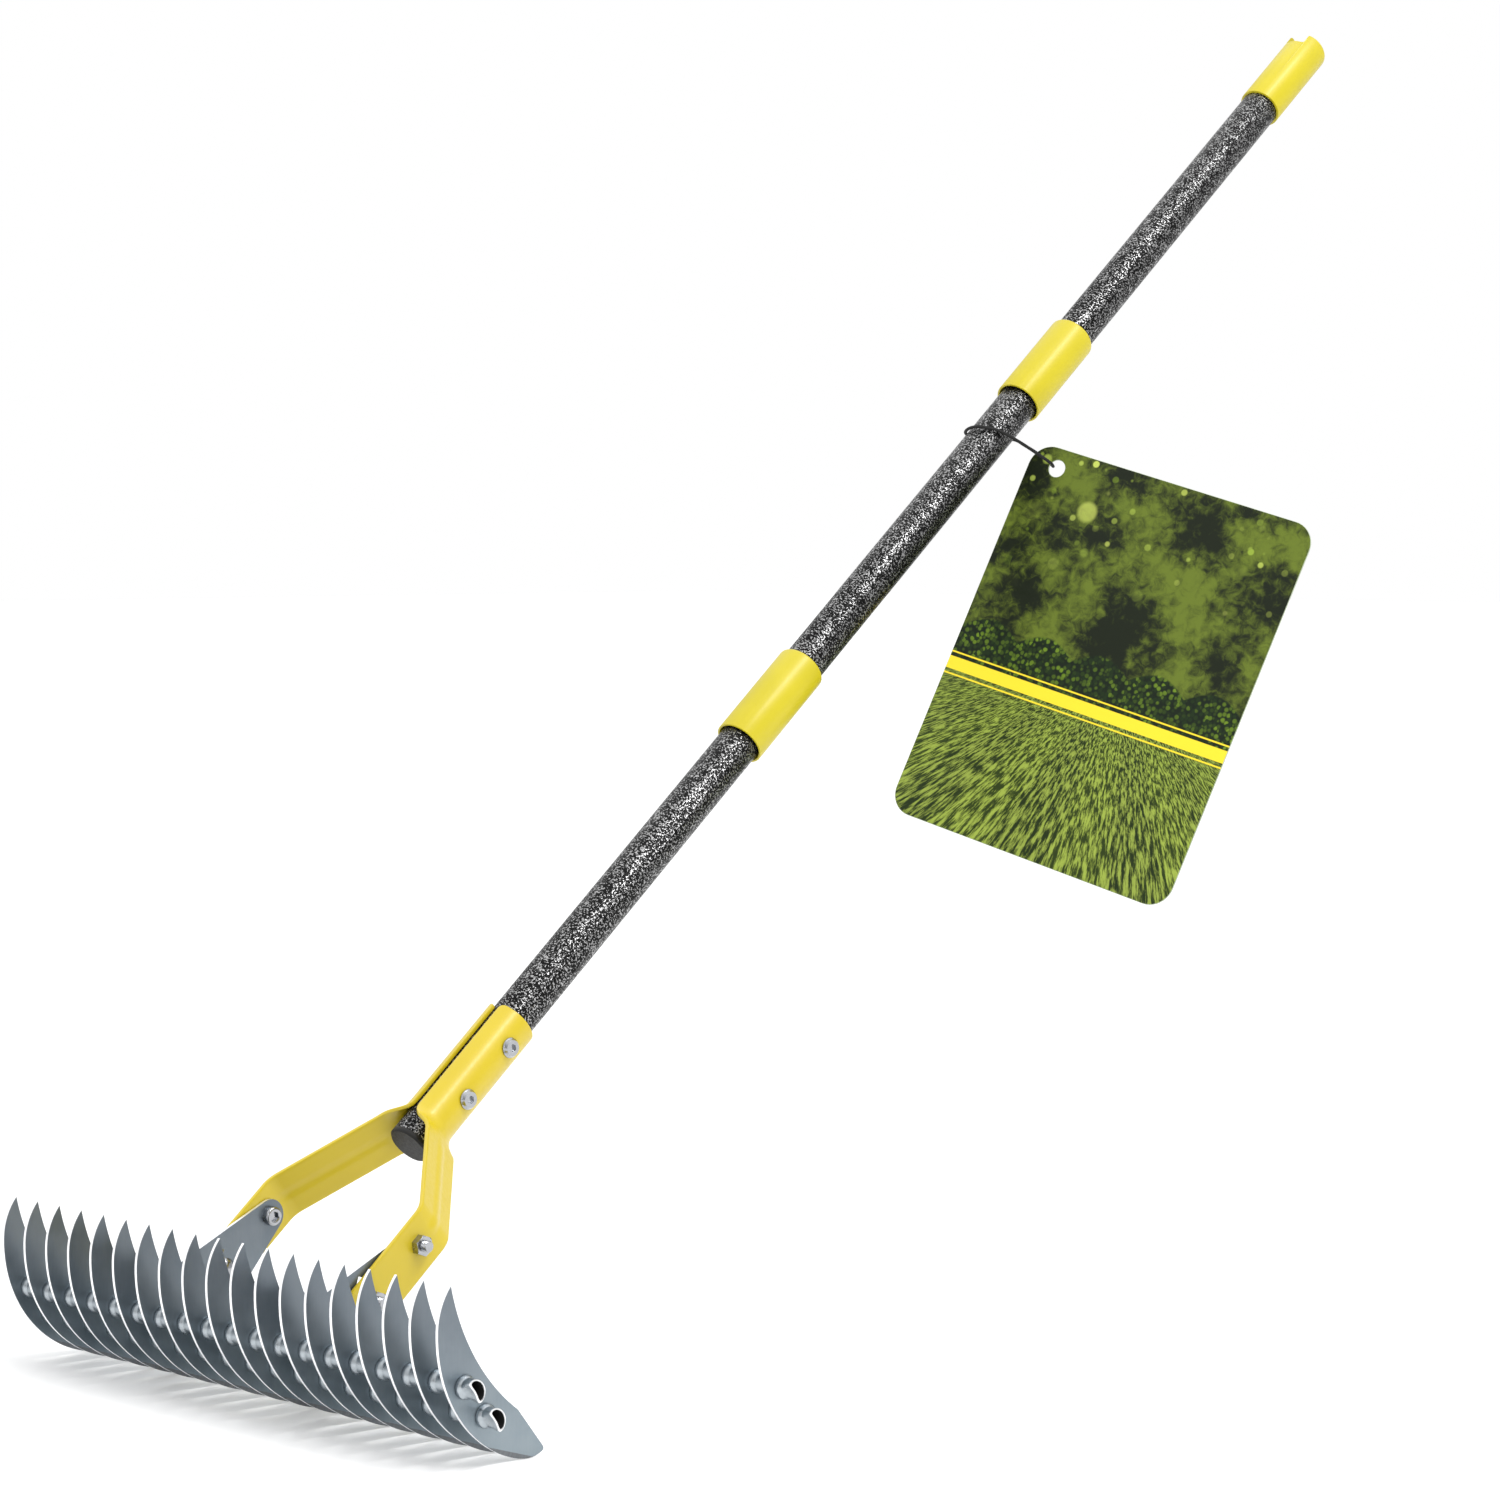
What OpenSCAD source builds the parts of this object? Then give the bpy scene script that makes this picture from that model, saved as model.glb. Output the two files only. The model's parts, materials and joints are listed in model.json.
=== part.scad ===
// Thatch rake: sickle tines held on two tie tubes, tilting in a two-arm fork on a three-piece handle.
// Millimetres. The rake is drawn with X along the head, Z up the handle, -Y towards the pointed tips
// and the tilt axis through the origin, and is then leaned to stand on its tines, +Z up.

/* [Stance] */
// Angle of the handle above the ground
handle_lean = 39.1; // [34:0.1:44]

/* [Tines] */
// Number of tines, odd so that the middle one lies under the handle
tine_count = 19; // [15:2:23]
// Distance from one tine to the next
tine_pitch = 20; // [18:0.5:24]
// Thickness of the tine sheet
tine_t = 1.8; // [1.2:0.1:2.4]
// Radius of the convex working edge
edge_r = 71; // [69:0.5:73]
// Depth of the working edge's lowest point below the tilt axis
edge_drop = 97; // [95:0.5:99]
// Distance of the working edge's centre from the handle's line, towards the blunt ends
edge_shift = 2; // [0:0.5:4]
// Angle where the working edge starts to draw in towards the pointed tip
tip_from = 41; // [36:1:46]
// Radius of the edge beside the pointed tip
tip_edge_r = 35; // [32:1:40]
// Angle where the pointed tip ends
tip_turn = 80; // [76:1:84]
// Angle where the working edge starts to draw in towards the blunt end
blunt_from = 36; // [32:1:40]
// Radius of the edge beside the blunt end
blunt_edge_r = 23; // [20:1:28]
// Angle where the blunt end stops
blunt_turn = 81; // [77:1:85]
// Corner radius of the blunt end
blunt_corner = 2.4; // [1:0.2:4]
// Radius of the hollow inner edge
inner_r = 114; // [105:1:130]
// Distance of the inner edge's corner from the handle's line
kink_shift = 24; // [22:0.5:26]
// Depth of the inner edge's corner below the tilt axis
kink_drop = 68.2; // [66:0.1:70]
// Angle along the working edge where the ground bevel starts
bevel_from = 17; // [12:1:24]
// Angle beside the blunt end where the ground bevel stops
bevel_to = 60; // [52:1:68]
// Slope of the ground bevel
bevel_slope = 22; // [12:1:28]

/* [Tie tubes] */
// Outside diameter of a tie tube
tie_d = 10; // [8:0.5:11]
// Wall of a tie tube
tie_wall = 1; // [0.6:0.1:1.5]
// Distance of the front tie tube from the handle's line
tie_front = 11.5; // [9:0.5:14]
// Distance of the rear tie tube from the handle's line
tie_rear = 9.5; // [9:0.5:13]
// Depth of the tie tubes below the tilt axis
tie_drop = 85; // [83:0.5:87]
// Length that a tie tube stands out past the end tine
stub_l = 10.5; // [8:0.5:14]
// Width of a swaged bead along the tube
bead_l = 3; // [2:0.2:4]
// Height of a swaged bead above the tube
bead_h = 1.2; // [0.6:0.1:1.6]
// Long side of the crushed tube end
crush_w = 13; // [11:0.5:14]
// Short side of the crushed tube end
crush_t = 7; // [5:0.5:8]

/* [Tilt joint] */
// Tine spaces between the middle tine and each bracket tine
bracket_step = 3; // [2:1:4]
// Radius of the bracket round the pivot bolt
bracket_end_r = 9; // [8:0.5:9.5]
// Distance of the bracket's front edge from the handle's line where it meets the tine
bracket_front = 28; // [25:0.5:31]
// Distance of the bracket's rear edge from the handle's line where it meets the tine
bracket_rear = 21.5; // [19:0.5:23]
// Fillet at the foot of the bracket's front edge
front_fillet = 11; // [8:0.5:13]
// Fillet at the foot of the bracket's rear edge
rear_fillet = 6; // [4:0.5:8]
// Distance from the pivot bolt to the adjusting bolt
adjust_r = 40; // [38:0.5:44]
// Tilt from the middle notch to each outer notch
tilt_step = 15; // [13:0.5:17]
// Side of a square notch
notch_side = 7.4; // [6.8:0.2:8]
// Diameter of the tilt joint's bolts
bolt_d = 6; // [5:0.5:6.5]
// Diameter of the pivot bolt's head
bolt_head_d = 10.5; // [9.5:0.5:13]
// Height of the pivot bolt's head
bolt_head_h = 4; // [3:0.5:6]
// Width across the flats of the hexagon sockets
socket_af = 5; // [3:0.5:6]
// Depth of the hexagon sockets
socket_depth = 2; // [1:0.2:2.4]
// Diameter of the adjusting bolt's domed head
dome_d = 12.6; // [11:0.2:14]
// Height of the adjusting bolt's domed head
dome_h = 3.2; // [2.4:0.2:4]
// Width across the flats of the nuts
nut_af = 10; // [9:0.5:11]
// Height of the nuts
nut_h = 5; // [4:0.5:6]
// Length of thread that stands out of a nut
thread_end = 3.5; // [1:0.5:4.5]

/* [Fork] */
// Sheet thickness of the fork arms
arm_t = 2.5; // [2:0.1:3]
// Width of an arm's lower part
arm_w = 28.5; // [27:0.5:32]
// Width of an arm's sheet where it wraps the handle
arm_wrap = 39; // [36:0.5:41]
// Top of the arms above the tilt axis
arm_top = 158; // [152:1:170]
// Height of the bend below the handle clamp
arm_bend = 76; // [73:1:81]
// Height of the bend above the lower flats
arm_foot_bend = 14; // [13.5:0.5:20]
// Reach of the arms below the tilt axis
arm_reach = 51; // [49:0.5:53]
// Bend radius of the arms
arm_bend_r = 14; // [8:1:18]
// Height above the upper bend at which the wrapped sheet starts to flatten out
arm_flat_lead = 6; // [2:1:8]
// Length over which the wrapped sheet flattens out
arm_flatten = 15; // [12:1:30]
// Corner radius at the lower ends of the arms
arm_corner = 6; // [3:0.5:9]
// Corner radius at the upper ends of the arms
arm_top_corner = 3; // [1:0.5:5]
// Width of the pressed rib
rib_w = 8; // [6:0.5:10]
// Height of the pressed rib
rib_h = 1.1; // [0.5:0.1:1.6]
// Run-out length at each end of the pressed rib
rib_run = 9; // [6:1:14]
// Length of the pressed rib below the lower bend
rib_tail = 4; // [3:0.5:6]
// Height of the upper clamp screw
clamp_high = 140; // [132:1:146]
// Height of the lower clamp screw
clamp_low = 100; // [94:1:110]
// Diameter of a clamp screw
clamp_d = 5; // [4:0.5:5.5]
// Diameter of a clamp sleeve
sleeve_d = 7; // [6.5:0.5:8]
// Diameter of the clamp heads
clamp_head_d = 11.3; // [10:0.1:13]
// Height of the clamp heads
clamp_head_h = 2.6; // [2.4:0.2:4]
// Width across the flats of the clamp heads' sockets
clamp_socket_af = 4; // [3:0.5:5]
// Depth of the clamp heads' sockets
clamp_socket_depth = 1.6; // [1:0.1:1.8]

/* [Handle] */
// Outside diameter of the handle tubes
tube_d = 25; // [24:0.5:26]
// Wall of the handle tubes
tube_wall = 1.2; // [0.8:0.1:1.6]
// Height of the lower tube's foot above the tilt axis
tube_foot = 65; // [62:1:70]
// Height of the lower joint between tubes
lower_joint = 427; // [400:1:460]
// Height of the upper joint between tubes
upper_joint = 752; // [740:1:790]
// Height of the end of the grip cap
handle_top = 1112; // [1050:1:1250]
// Thickness of the plug's flange at the tube's foot
plug_flange = 3; // [2:0.5:5]
// Depth of the plug inside the tube
plug_depth = 14; // [10:1:20]
// Length of a collar
collar_l = 69; // [60:1:80]
// Wall of a collar
collar_wall = 2.4; // [2:0.1:3]
// Radius of a collar's rounded top edge
collar_round = 2; // [1:0.2:2.2]
// Gap between a collar's mouth and the tube in it
mouth_gap = 1; // [0.5:0.1:1.4]
// Depth of a collar's mouth
mouth_depth = 22; // [15:1:28]
// Length of the plastic inserts inside the tube ends
insert_l = 36; // [30:1:45]
// Diameter of the joint studs
stud_d = 16; // [12:0.5:18]
// Length of the joint studs
stud_l = 26; // [20:1:30]
// Length of the grip cap
cap_l = 70; // [60:1:80]
// Wall of the grip cap
cap_wall = 1.5; // [1.2:0.1:2.5]
// Thickness of the grip cap's closed end
cap_end = 14; // [13:0.5:18]
// Radius of the grip cap's rounded end
cap_round = 3; // [1:0.5:4]
// Width of the hanging notch
hang_w = 15; // [12:0.5:16]
// Depth of the hanging notch
hang_depth = 10.5; // [8:0.5:11]
// Radius of the hanging notch's inner corners
hang_corner = 2; // [1:0.5:3]
// Direction of the hanging notch, from the head's right end towards the pointed tips
hang_turn = 90; // [70:1:110]

/* [Hang tag] */
// Width of the card
tag_w = 200; // [150:1:220]
// Height of the card
tag_h = 250; // [200:1:260]
// Thickness of the card
tag_t = 1; // [0.6:0.1:1.2]
// Corner radius of the card
tag_corner = 15; // [5:0.5:18]
// Diameter of the punched hole
tag_hole_d = 11; // [10:0.5:12]
// Distance of the hole from the card's left edge
tag_hole_side = 20; // [15:0.5:24]
// Distance of the hole from the card's top edge
tag_hole_top = 13; // [10:0.5:20]
// Turn of the card about the handle
tag_turn = 18.7; // [14:0.1:22]
// Lean of the card's foot away from the handle
tag_lean = 32.5; // [30:0.5:34]
// Turn of the card in its own plane
tag_roll = 1.7; // [0:0.1:4]
// Thickness of the tie cord
tie_cord_d = 2; // [1.4:0.1:2.2]
// Thickness of the tie cord's knot
knot_d = 4.8; // [4:0.2:5]

/* [Fits] */
// Radial clearance of the pieces that turn or slide on each other
run_clear = 0.06; // [0.03:0.01:0.1]
// Gap between the brackets and the sheets that slide on them
slide_gap = 0.06; // [0.03:0.01:0.2]
// Radial clearance of the pieces that are pressed or bolted together
fit_clear = 0.05; // [0.02:0.01:0.1]
// Radial clearance of the arms round the handle
clamp_clear = 0.15; // [0.12:0.01:0.3]
// Clearance of the adjusting bolt in the throats between the notches
throat_clear = 0.4; // [0.3:0.05:0.6]

/* [Hidden] */
$fn = 64;
socket_sides = 6;
tube_r = tube_d / 2;
tube_ri = tube_r - tube_wall;
tie_r = tie_d / 2;
tie_ri = tie_r - tie_wall;
bolt_r = bolt_d / 2;
sleeve_r = sleeve_d / 2;
clamp_r = clamp_d / 2;
middle_tine = (tine_count + 1) / 2;
half_span = (middle_tine - 1) * tine_pitch;
bracket_x = bracket_step * tine_pitch;
tie_places = [-tie_front, tie_rear];

// A point at an angle from straight down, positive towards the blunt ends
function swing(centre, r, angle) = centre + r * [sin(angle), -cos(angle)];
function arc(centre, r, from, to, steps) =
    [for (k = [0:steps]) swing(centre, r, from + (to - from) * k / steps)];
function curve(a, b, c, steps) =
    [for (k = [0:steps]) let (t = k / steps) (1 - t) * (1 - t) * a + 2 * t * (1 - t) * b + t * t * c];
function reversed(list) = [for (k = [len(list) - 1:-1:0]) list[k]];
function unit(v) = v / norm(v);
function clamped(t) = min(1, max(0, t));
function smooth(t) = let (c = clamped(t)) c * c * (3 - 2 * c);

// The tine's outline in its own plane, as [y, z]
edge_c = [edge_shift, edge_r - edge_drop];
tip_c = swing(edge_c, edge_r - tip_edge_r, -tip_from);
blunt_c = swing(edge_c, edge_r - blunt_edge_r, blunt_from);
tip = swing(tip_c, tip_edge_r, -tip_turn);
blunt_tip = swing(blunt_c, blunt_edge_r, blunt_turn);
kink = [kink_shift, -kink_drop];
corner_turn = blunt_corner / blunt_edge_r * 180 / PI;
inner_chord = kink - tip;
inner_lift = sqrt(inner_r * inner_r - inner_chord * inner_chord / 4);
inner_c = (tip + kink) / 2 + inner_lift * unit([-inner_chord[1], inner_chord[0]]);
function inner_angle(p) = asin((p[0] - inner_c[0]) / inner_r);
function inner_edge_z(y) = y > kink_shift
    ? kink[1] + (blunt_tip[1] - kink[1]) * (y - kink[0]) / (blunt_tip[0] - kink[0])
    : inner_c[1] - sqrt(inner_r * inner_r - (y - inner_c[0]) * (y - inner_c[0]));
function inside(list) = [for (k = [1:len(list) - 2]) list[k]];
blade = concat(
    arc(tip_c, tip_edge_r, -tip_turn, -tip_from, 8),
    inside(arc(edge_c, edge_r, -tip_from, blunt_from, 26)),
    arc(blunt_c, blunt_edge_r, blunt_from, blunt_turn - corner_turn, 7),
    inside(curve(
        swing(blunt_c, blunt_edge_r, blunt_turn - corner_turn),
        blunt_tip,
        blunt_tip + blunt_corner * unit(kink - blunt_tip),
        4)),
    [blunt_tip + blunt_corner * unit(kink - blunt_tip)],
    inside(concat(
        [kink],
        arc(inner_c, inner_r, inner_angle(kink), inner_angle(tip), 22))));

// Where the leaned rake stands, so that its foot is at Z = 0 and its length is centred
function leaned_y(p) = p[0] * sin(handle_lean) + p[1] * cos(handle_lean);
function leaned_z(p) = p[1] * sin(handle_lean) - p[0] * cos(handle_lean);
cap_r = tube_r + fit_clear + cap_wall;
cap_corner_c = [cap_r - cap_round, handle_top - cap_round];
row_z = -min([for (p = blade) leaned_z(p)]);
row_front = min([for (p = blade) leaned_y(p)]);
row_back = leaned_y(cap_corner_c) + cap_round;
row_y = -(row_front + row_back) / 2;

// Places across the tilt joint, from the bracket outwards
bracket_inner_x = bracket_x - tine_t / 2;
arm_inner_x = bracket_x + tine_t / 2 + slide_gap;
arm_outer_x = arm_inner_x + arm_t;
bolt_end_x = arm_outer_x + nut_h + thread_end;

// The arm's centre line runs down the handle, flares out and runs down again
arm_clamp_x = tube_r + clamp_clear + arm_t / 2;
arm_foot_x = arm_inner_x + arm_t / 2;
arm_flare = atan((arm_foot_x - arm_clamp_x) / (arm_bend - arm_foot_bend));
arm_bend_l = arm_bend_r * tan(arm_flare / 2);
upper_bend_z = arm_bend + arm_bend_l;
lower_bend_z = arm_foot_bend - arm_bend_l;
flare_start = [arm_clamp_x + arm_bend_r * (1 - cos(arm_flare)), upper_bend_z - arm_bend_r * sin(arm_flare)];
flare_end = [arm_foot_x - arm_bend_r * (1 - cos(arm_flare)), lower_bend_z + arm_bend_r * sin(arm_flare)];
rib_foot = lower_bend_z - rib_tail;
corner_steps = [0, 0.06, 0.22, 0.5, 1];
bend_steps = 6;
flare_steps = 10;
tail_steps = 3;
half_columns = 10;
// Each row across the arm is [x, z, slope, cut-back of the sheet's edge at a rounded end]
function corner_cut(share, r) = r * (1 - sqrt(1 - (1 - share) * (1 - share)));
arm_rows = concat(
    [for (c = corner_steps) [arm_clamp_x, arm_top - c * arm_top_corner, 0, corner_cut(c, arm_top_corner)]],
    [[arm_clamp_x, (arm_top + upper_bend_z) / 2, 0, 0]],
    [for (k = [0:bend_steps]) let (a = arm_flare * k / bend_steps)
        [arm_clamp_x + arm_bend_r * (1 - cos(a)), upper_bend_z - arm_bend_r * sin(a), a, 0]],
    [for (k = [1:flare_steps - 1]) let (p = flare_start + (flare_end - flare_start) * k / flare_steps)
        [p[0], p[1], arm_flare, 0]],
    [for (k = [bend_steps:-1:0]) let (a = arm_flare * k / bend_steps)
        [arm_foot_x - arm_bend_r * (1 - cos(a)), lower_bend_z + arm_bend_r * sin(a), a, 0]],
    [for (k = [1:tail_steps]) [arm_foot_x, lower_bend_z - rib_tail * k / tail_steps, 0, 0]],
    [for (c = reversed(corner_steps))
        [arm_foot_x, c * arm_corner - arm_reach, 0, corner_cut(c, arm_corner)]]);
function arm_roundness(z) = 1 - smooth((arm_bend + arm_flat_lead - z) / arm_flatten);
function arm_half_width(z) = (arm_w + (arm_wrap - arm_w) * arm_roundness(z)) / 2;
function rib_rise(v, z) =
    abs(v) >= rib_w / 2 ? 0 : rib_h * (1 + cos(360 * v / rib_w)) / 2
        * smooth((arm_bend - rib_run / 2 - z) / rib_run) * smooth((z - rib_foot) / rib_run);
// A point of the arm's sheet: column runs from -1 to 1 across it, side is -1 inside and 1 outside
function arm_point(row, column, side) =
    let (z = row[1],
         v = column * (arm_half_width(z) - row[3]),
         bow = arm_roundness(z) / arm_clamp_x,
         turn = bow * v * 180 / PI,
         sag = bow > 0 ? (cos(turn) - 1) / bow : 0,
         y = bow > 0 ? sin(turn) / bow : v,
         rise = side * arm_t / 2 + rib_rise(v, z),
         out = sag + rise * cos(turn))
    [row[0] + out * cos(row[2]), y + rise * sin(turn), z + out * sin(row[2])];

// Handle joints
collar_r = tube_r + fit_clear + collar_wall;
insert_r = tube_ri - fit_clear;

// The tie cord's loop: points as [towards the card's hole, across, up the handle], chosen by hand
tag_hole_bearing = 53.7;
tag_hole_reach = 45.2;
tag_hole_z = 696.5;
tie_route = [
    [1.4, 15.2, 691.8], [2.9, 15.2, 693.2], [6, 13.9, 697], [9.8, 13.6, 701.2], [14, 13.6, 704.2],
    [20, 13.3, 705], [27, 12, 705.2], [33, 10.2, 704.1], [38.3, 7.7, 702.1], [41.5, 4.5, 699.6],
    [42.3, 1.5, 697.2], [40.6, -1.1, 695.9], [37.3, -2.5, 694.8], [32, -4.1, 693.1], [24, -6.9, 690.1],
    [15, -10, 686.5], [5.6, -13, 682.2], [0.8, -14.1, 679.9], [-4, -13.5, 677.5], [-8.2, -11.5, 676],
    [-11.5, -8.2, 675.1], [-13.4, -4.3, 674.8], [-14.1, 0.3, 675.2], [-13.4, 4.6, 676.8],
    [-11.2, 8.8, 680], [-7.7, 12.3, 684], [-3.3, 15.2, 687.4], [-1.8, 15.2, 688.8]];
tie_sides = 8;

function tine_name(i) = str("tine_", i < 10 ? "0" : "", i);
tine_names = [for (i = [1:tine_count]) tine_name(i)];

module placed() {
    translate([0, row_y, row_z]) rotate([handle_lean - 90, 0, 0]) children();
}

module sided(side) {
    if (side > 0) children();
    else mirror([1, 0, 0]) children();
}

// Turns a piece drawn along Z to lie along X
module along_x() {
    rotate([0, 90, 0]) children();
}

module x_bore(r, from_x, to_x, y, z) {
    translate([from_x, y, z]) along_x() cylinder(r = r, h = to_x - from_x);
}

// Draws a [y, z] outline as a sheet of thickness t about X = 0
module sheet(t) {
    translate([-t / 2, 0, 0]) rotate([90, 0, 90]) linear_extrude(t) children();
}

// Tines
bevel_start = swing(edge_c, edge_r, bevel_from);
bevel_end = swing(blunt_c, blunt_edge_r, bevel_to);
bevel_bearing = atan2(bevel_end[1] - bevel_start[1], bevel_end[0] - bevel_start[0]);
bevel_l = norm(bevel_end - bevel_start);

module bevel_cut() {
    translate([tine_t / 2, bevel_start[0], bevel_start[1]]) rotate([bevel_bearing, 0, 0])
        rotate([0, bevel_slope, 0]) translate([0, -tie_d, -tie_d])
            cube([tie_d, bevel_l + 2 * tie_d, tie_d]);
}

module tie_holes() {
    for (y = tie_places)
        x_bore(tie_r + fit_clear, -tine_t, tine_t, y, -tie_drop);
}

// The bracket's edges leave its round end as tangents and meet the tine in fillets
function tangent_angle(foot, side) = atan2(foot[1], foot[0]) + side * acos(bracket_end_r / norm(foot));
function round_end(angle) = bracket_end_r * [cos(angle), sin(angle)];
front_foot = [-bracket_front, inner_edge_z(-bracket_front)];
rear_foot = [bracket_rear, inner_edge_z(bracket_rear)];
front_tangent = tangent_angle(front_foot, -1) + 360;
rear_tangent = tangent_angle(rear_foot, 1);
bracket_root = 5;
bracket_sink = 0.4;
function on_inner_edge(y) = [y, inner_edge_z(y) - bracket_sink];
front_spread = on_inner_edge(-bracket_front - front_fillet);
rear_spread = on_inner_edge(bracket_rear + rear_fillet);
front_fillet_top = front_foot + front_fillet * unit(round_end(front_tangent) - front_foot);
rear_fillet_top = rear_foot + rear_fillet * unit(round_end(rear_tangent) - rear_foot);
bracket_outline = concat(
    [for (k = [0:16]) round_end(rear_tangent + (front_tangent - rear_tangent) * k / 16)],
    curve(front_fillet_top, front_foot, front_spread, 7),
    [front_spread - [0, bracket_root], rear_spread - [0, bracket_root]],
    curve(rear_spread, rear_foot, rear_fillet_top, 7));

throat = bolt_d + 2 * throat_clear;
module notches() {
    polygon(concat(
        arc([0, 0], adjust_r + throat / 2, -tilt_step, tilt_step, 12),
        arc([0, 0], adjust_r - throat / 2, tilt_step, -tilt_step, 12)));
    for (a = [-tilt_step, 0, tilt_step])
        rotate(a) translate([0, -adjust_r]) rotate(45) square(notch_side, center = true);
}

module bracket_plate() {
    difference() {
        sheet(tine_t) polygon(bracket_outline);
        sheet(2 * tine_t) notches();
        x_bore(bolt_r + run_clear, -tine_t, tine_t, 0, 0);
    }
}

module tine(i) {
    step = i - middle_tine;
    color("slategray") placed() translate([step * tine_pitch, 0, 0]) difference() {
        union() {
            sheet(tine_t) polygon(blade);
            if (abs(step) == bracket_step) bracket_plate();
        }
        tie_holes();
        bevel_cut();
    }
}

// Tie tubes
tie_round_x = half_span + tine_t / 2 + bead_l + fit_clear;
tie_end_x = half_span + tine_t / 2 + stub_l;
crush_skin = 0.4;
cut_spare = 0.1;
// A swaged bead on the given side of a tine: steep at the tine, sloping off along the tube
function bead(x, side) =
    let (face = x + side * (tine_t / 2 + fit_clear))
    [[tie_r, face], [tie_r + bead_h, face + side * fit_clear], [tie_r + bead_h, face + side * bead_l / 3],
     [tie_r, face + side * bead_l]];
tie_profile = concat(
    [[tie_ri, -tie_round_x]],
    [for (k = [1:tine_count]) let (x = (k - middle_tine) * tine_pitch)
        each concat(reversed(bead(x, -1)), bead(x, 1))],
    [[tie_ri, tie_round_x]]);

module crushed_end(spare, out) {
    hull() {
        translate([0, 0, tie_round_x - crush_skin - out])
            cylinder(r = tie_r - spare, h = crush_skin, $fn = 32);
        for (y = [-1, 1])
            translate([0, y * (crush_w - crush_t) / 2, tie_end_x - crush_skin + out])
                cylinder(r = crush_t / 2 - spare, h = crush_skin, $fn = 32);
    }
}

module tie_tube(y) {
    color("silver") placed() translate([0, y, -tie_drop]) along_x() {
        rotate_extrude() polygon(tie_profile);
        for (side = [0, 1]) mirror([0, 0, side]) difference() {
            crushed_end(0, 0);
            crushed_end(tie_wall, cut_spare);
        }
    }
}

// Tilt joint fasteners
module hex_socket(af, depth) {
    translate([0, 0, -depth]) cylinder(r = af / 2 / cos(30), h = 2 * depth, $fn = socket_sides);
}

module pivot_bolt(side) {
    edge = bolt_head_h / 8;
    head_r = bolt_head_d / 2;
    color("gainsboro") placed() sided(side) along_x() difference() {
        translate([0, 0, bracket_inner_x - slide_gap]) {
            rotate_extrude() polygon([
                [0, -bolt_head_h], [head_r - edge, -bolt_head_h], [head_r, edge - bolt_head_h],
                [head_r, 0], [0, 0]]);
            cylinder(r = bolt_r, h = bolt_end_x - bracket_inner_x + slide_gap);
        }
        translate([0, 0, bracket_inner_x - slide_gap - bolt_head_h]) hex_socket(socket_af, socket_depth);
    }
}

module adjust_bolt(side) {
    dome_r = dome_d / 2;
    ball_r = (dome_r * dome_r + dome_h * dome_h) / (2 * dome_h);
    dome_turn = asin(dome_r / ball_r);
    color("gainsboro") placed() sided(side) translate([0, 0, -adjust_r]) along_x()
        translate([0, 0, bracket_inner_x - slide_gap]) {
            rotate_extrude() polygon(concat(
                [[0, 0]],
                [for (k = [8:-1:0]) let (p = swing([0, ball_r - dome_h], ball_r, dome_turn * k / 8)) p]));
            cylinder(r = bolt_r, h = bolt_end_x - bracket_inner_x + slide_gap);
        }
}

module nut(side, z) {
    corner_r = nut_af / 2 / cos(30);
    chamfer = corner_r - nut_af / 2;
    color("gainsboro") placed() sided(side) translate([0, 0, z]) along_x() translate([0, 0, arm_outer_x])
        difference() {
            intersection() {
                cylinder(r = corner_r, h = nut_h, $fn = socket_sides);
                rotate_extrude() polygon([
                    [0, 0], [nut_af / 2, 0], [corner_r, chamfer / 2], [corner_r, nut_h - chamfer / 2],
                    [nut_af / 2, nut_h], [0, nut_h]]);
            }
            translate([0, 0, -nut_h]) cylinder(r = bolt_r + fit_clear, h = 3 * nut_h);
        }
}

// Fork
module arm_sheet() {
    columns = [for (k = [-half_columns:half_columns]) k / half_columns];
    n = len(columns);
    rows = len(arm_rows);
    layer = rows * n;
    points = [for (side = [-1, 1]) for (row = arm_rows) for (c = columns) arm_point(row, c, side)];
    function at(side, r, c) = side * layer + r * n + c;
    function quad(a, b, c, d) = [[a, b, c], [a, c, d]];
    outside = [for (r = [0:rows - 2]) for (c = [0:n - 2])
        each quad(at(1, r, c), at(1, r, c + 1), at(1, r + 1, c + 1), at(1, r + 1, c))];
    within = [for (r = [0:rows - 2]) for (c = [0:n - 2])
        each quad(at(0, r, c), at(0, r + 1, c), at(0, r + 1, c + 1), at(0, r, c + 1))];
    edges = [for (r = [0:rows - 2]) each concat(
        quad(at(0, r, 0), at(1, r, 0), at(1, r + 1, 0), at(0, r + 1, 0)),
        quad(at(0, r, n - 1), at(0, r + 1, n - 1), at(1, r + 1, n - 1), at(1, r, n - 1)))];
    ends = [for (c = [0:n - 2]) each concat(
        quad(at(0, 0, c), at(0, 0, c + 1), at(1, 0, c + 1), at(1, 0, c)),
        quad(at(0, rows - 1, c), at(1, rows - 1, c), at(1, rows - 1, c + 1), at(0, rows - 1, c + 1)))];
    polyhedron(points, concat(outside, within, edges, ends));
}

module arm(side) {
    clamp_hole_r = side > 0 ? clamp_r : sleeve_r;
    color("gold") placed() sided(side) difference() {
        arm_sheet();
        for (z = [clamp_high, clamp_low])
            x_bore(clamp_hole_r + fit_clear, 0, 2 * tube_d, 0, z);
        for (z = [0, -adjust_r])
            x_bore(bolt_r + fit_clear, arm_inner_x - arm_t, arm_outer_x + arm_t, 0, z);
    }
}

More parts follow.
